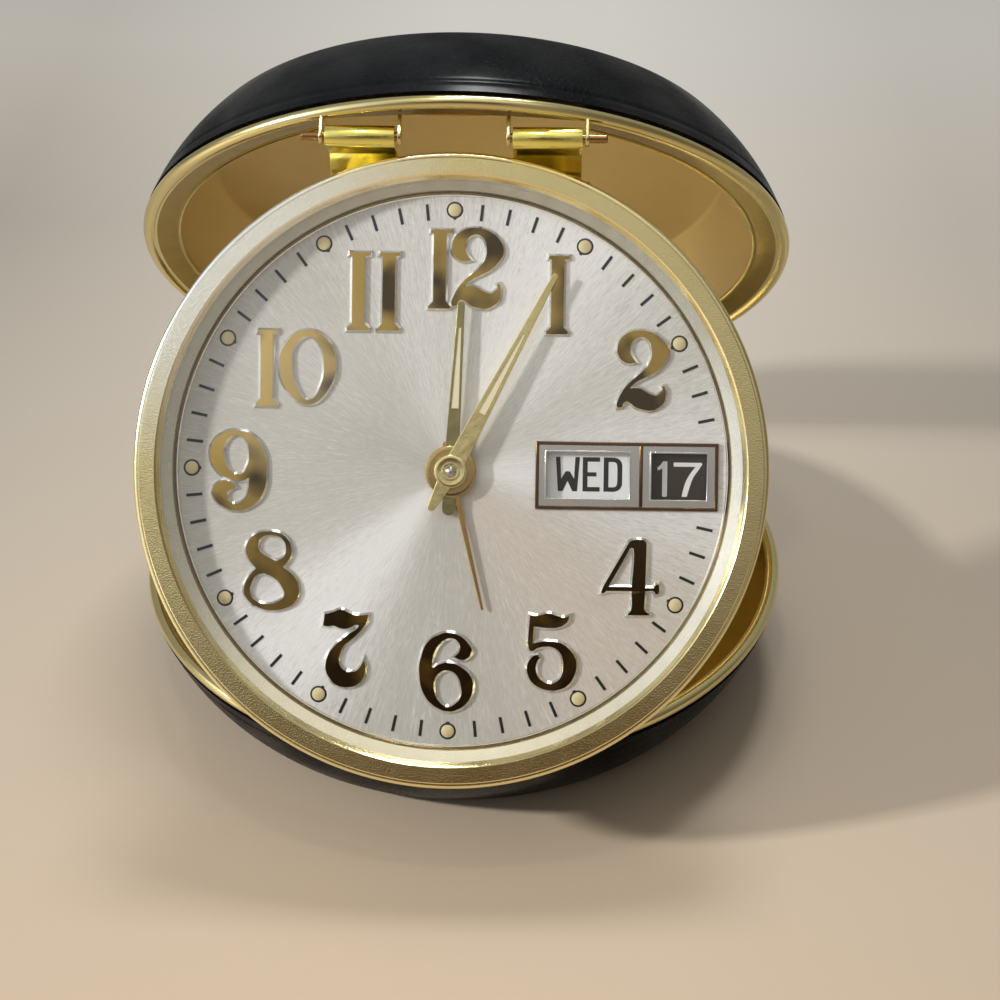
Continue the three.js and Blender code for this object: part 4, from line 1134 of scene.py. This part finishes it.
for name, shape in HANDS.items():
    turn = CLOCK @ Matrix.Rotation(radians(-HAND_TURNS[name]), 4, "Z")
    finished(place(hand(**shape), turn), f"{name}_blade", name, None, "gold", name)
    if shape["slot"]:
        top, bottom = -shape["depth"] - PAINT_BELOW, -shape["depth"] - HAND_SHEET + PAINT_ABOVE
        paint = slot_plate("paint", *shape["slot"], bottom, top)
        finished(place(paint, turn), f"{name}_paint", name, "cream_paint", "paper")
post = [(0, POST_FOOT), (POST_RADIUS, POST_FOOT), *arc(0, POST_SHOULDER, POST_RADIUS, 0, 90, 8)]
on_clock(turned("post", post, 40), "domed_post", "steel", "steel", "hand_post")

# %% [markdown]
# Behind the dial sits the drum: a deep cup with a flange that is held under the bezel. The back cover closes
# it, with a pressed ring for stiffness and a bore for each control.

# %% Drum and back cover
DRUM_RADIUS, DRUM_INNER, DRUM_DEPTH, DRUM_CORNER = 29.5, 28.9, 8.2, 0.35
DRUM_FLANGE, DRUM_FLANGE_TOP, DRUM_FLANGE_HALF = 33.3, -3.8, 0.15
COVER_RADIUS, COVER_SHEET, COVER_EDGE = 28.6, 0.6, 0.15
GROOVE = [(26.2, 0), (25.9, 0.18), (25.1, 0.18), (24.8, 0)]
BORE = 1.1
CONTROLS = {"time_key": (-11.5, -7), "alarm_key": (11.5, -7), "time_knob": (-7.5, 9), "alarm_knob": (7.5, 9),
            "stop_button": (0, 19.5), "calendar_button": (18, 12), "regulator": (0, -19)}


def drum():
    corner = arc(DRUM_RADIUS - DRUM_CORNER, DRUM_CORNER - DRUM_DEPTH, DRUM_CORNER, -90, 0, 5)
    half = DRUM_FLANGE_HALF
    edge = arc(DRUM_FLANGE - half, DRUM_FLANGE_TOP - half, half, -90, 90, 4)
    inside = [(DRUM_INNER, DRUM_FLANGE_TOP), (DRUM_INNER, -DRUM_DEPTH)]
    neck = [(DRUM_RADIUS, -4.3), (DRUM_RADIUS + 0.2, -4.1)]
    return turned("drum", [*inside, *corner, *neck, *edge, inside[0]], 160)


def back_plate():
    low, high = -DRUM_DEPTH, COVER_SHEET - DRUM_DEPTH
    edge = [(COVER_RADIUS, high), (COVER_RADIUS, low + COVER_EDGE), (COVER_RADIUS - COVER_EDGE, low)]
    groove = [(radius, low + depth) for radius, depth in GROOVE]
    cover = turned("back", [(0, high), *edge, *groove, (0, low)])
    bore = [(0, low - 1), (BORE, low - 1), (BORE, high + 1), (0, high + 1)]
    for x, y in CONTROLS.values():
        carve(cover, place(turned("bore", bore, 32), moved(x, y, 0)))
    return cover


on_clock(drum(), "drum_shell", "back_gilt", "gold", "clock_drum")
on_clock(back_plate(), "back_plate", "back_gilt", "gold", "back_cover")

# %% [markdown]
# The small controls on the back keep the shape of the CAD model. A copy of each mesh has its loose triangles
# merged and its flat faces joined, and then its edges are rounded, which is all that such small parts need.
# The discs, wheels and plates inside the drum keep the model's own mesh and only get a finish.

# %% Controls, brackets and hidden works
REFINED = {
    "time_winding_key": ("time_key", "brass", 0.12), "alarm_winding_key": ("alarm_key", "brass", 0.12),
    "time_setting_knob": ("time_knob", "brass", 0.06), "alarm_setting_knob": ("alarm_knob", "brass", 0.06),
    "alarm_stop_button": ("stop_button", "brass", 0.2), "calendar_button": ("calendar_button", "brass", 0.2),
    "regulator_lever": ("regulator", "steel", 0.06),
    "strap_bracket_left": ("clock", "brass", 0.06), "strap_bracket_right": ("clock", "brass", 0.06),
}
FLAT = radians(2)


def refined(node, bevel):
    source = frame["nodes"][node]
    place(linked(f"{node}_fine", source.data.copy()), source.matrix_world)
    edit()
    bpy.ops.mesh.remove_doubles(threshold=JOIN)
    bpy.ops.mesh.dissolve_limited(angle_limit=FLAT)
    return bevelled(tidy(), bevel, 2, 50)


for node, (body, look, bevel) in REFINED.items():
    finished(refined(node, bevel), f"{node}_fine", body, look, look, node)
plain = {"day_disc": "white_paper", "date_disc": "black_paper"}
works = ["balance_wheel", "time_barrel", "alarm_barrel", "movement_front_plate", "movement_back_plate"]
plain |= {node: "brass" for node in [*works, *[f"plate_pillar_{i}" for i in range(1, 5)]]}
for node, look in plain.items():
    for slot in frame["nodes"][node].material_slots:
        slot.material = looks[look]
print(len(plain), "inner nodes keep their shape")

# %% [markdown]
# The floor is a pale sheet that is warm near the viewer and cooler far away. It is darker at both sides,
# most at the left and in the middle distance, and this darkening is painted shade. One lamp
# stands to the left, one hangs above and behind, and a very small one above the lid puts sparks on the
# leather. A bright room all round fills the shadows. Polished metal shows what is in front of it, so the room
# is not even: it has a bright ceiling, a broad window at the left and a small one above the camera, a dim
# right side, and low behind the camera it is dark brown.

# %% Floor, lamp, room and camera
ROOM_LOW = (0.27, 0.26, 0.24)
ROOM = {
    "ceiling": ((0, 0, 1), -0.1, 0.7, (0.34, 0.34, 0.34)),
    "patch overhead": ((0, -0.35, 0.94), 0.86, 0.95, (0.95, 0.9, 0.78)),
    "window": ((-0.8, -0.4, 0.45), 0.78, 0.95, (0.98, 1.04, 1.16)),
    "dim side": ((0.9, -0.3, 0.25), 0.7, 0.92, (0.17, 0.15, 0.12)),
    "dark front": ((0, -0.9455, 0.3256), 0.957, 0.982, (0.09, 0.055, 0.03)),
    "wall above the camera": ((0, -0.73, 0.68), 0.97, 0.995, (0.5, 0.48, 0.44)),
    "small window": ((-0.185, -0.78, 0.595), 0.996, 0.9992, (1.5, 1.5, 1.48)),
}
LAMPS = {
    "key": ((-0.63, -0.22, 0.36), (0, 0, 0.04), 0.05, 7.0, (1.0, 0.98, 0.95)),
    "spark": ((-0.06, -0.16, 0.75), (0, 0, 0.05), 0.04, 0.4, (1.0, 1.0, 1.0)),
    "ceiling": ((0.05, 0.25, 0.64), (0, 0, 0), 0.17, 2.2, (1.0, 1.0, 1.0)),
}
FLOOR_SIZE = 4000
FLOOR_DEPTH, FLOOR_WIDTH = 0.34, 0.24
CAMERA_PLACE = (0.0115, -0.2090123, 0.1660304)
CAMERA_TURN = (0.96610723, 0.00282981, 0.03092194)
CAMERA_LENS, CAMERA_SENSOR = 72.25, 36


def floor_finish():
    finish = Finish("pale_floor", roughness=0.6)
    x, y, _ = finish.parts(finish.spot())
    far = y / FLOOR_DEPTH + 0.35
    near = finish.ramp(far, (0.0, 1.0), (1.0, 0.0))
    cloud = finish.noise(finish.spot(), 6, 3)
    # Painted shade: the floor darkens towards both sides, most at the left and in the middle distance.
    depth = finish.ramp(far, (0.15, 0.25), (0.45, 0.8), (0.7, 1.0), (0.95, 0.6))
    side = finish.ramp(x / FLOOR_WIDTH + 0.5, (0.12, 0.95), (0.45, 0.05), (0.6, 0.0), (0.85, 0.5)) * depth
    tone = finish.mix(near, (0.43, 0.425, 0.4), (0.4, 0.29, 0.18))
    tone = finish.mix(side, tone, (0.2, 0.18, 0.15))
    finish.set(base_color=finish.mix(cloud * 0.12, tone, (0.5, 0.46, 0.4)))
    return finish.material


def world_light():
    world = bpy.data.worlds.new("room")
    world.use_nodes = True
    bpy.context.scene.world = world
    tree = Tree(world.node_tree)
    way = tree.node("ShaderNodeTexCoord", None, None, "Generated")
    colour = ROOM_LOW
    for direction, start, end, tone in ROOM.values():
        share = tree.vector("DOT_PRODUCT", way, Vector(direction).normalized(), 1)
        colour = tree.mix(tree.ramp(share, (start, 0.0), (end, 1.0)), colour, tone)
    tree.put(tree.nodes["Background"].inputs["Color"], colour)
    tree.put(tree.nodes["Background"].inputs["Strength"], 1.0)


def lamp(name, place_m, target, size, power, colour):
    light = bpy.data.lights.new(name, "AREA")
    light.size = size
    light.energy = power
    light.color = colour
    item = linked(name, light)
    item.location = place_m
    item.rotation_euler = (Vector(target) - Vector(place_m)).to_track_quat("-Z", "Y").to_euler()


floor = primitive("floor", bpy.ops.mesh.primitive_plane_add, size=(FLOOR_SIZE, FLOOR_SIZE, 1))
floor.data.materials.append(floor_finish())
world_light()
for name, values in LAMPS.items():
    lamp(name, *values)
camera_data = bpy.data.cameras.new("camera")
camera_data.lens = CAMERA_LENS
camera_data.sensor_width = CAMERA_SENSOR
camera = linked("camera", camera_data)
camera.location = CAMERA_PLACE
camera.rotation_euler = Euler(CAMERA_TURN)
bpy.context.scene.camera = camera
bpy.context.scene.view_settings.view_transform = "Standard"
print("stage ready")
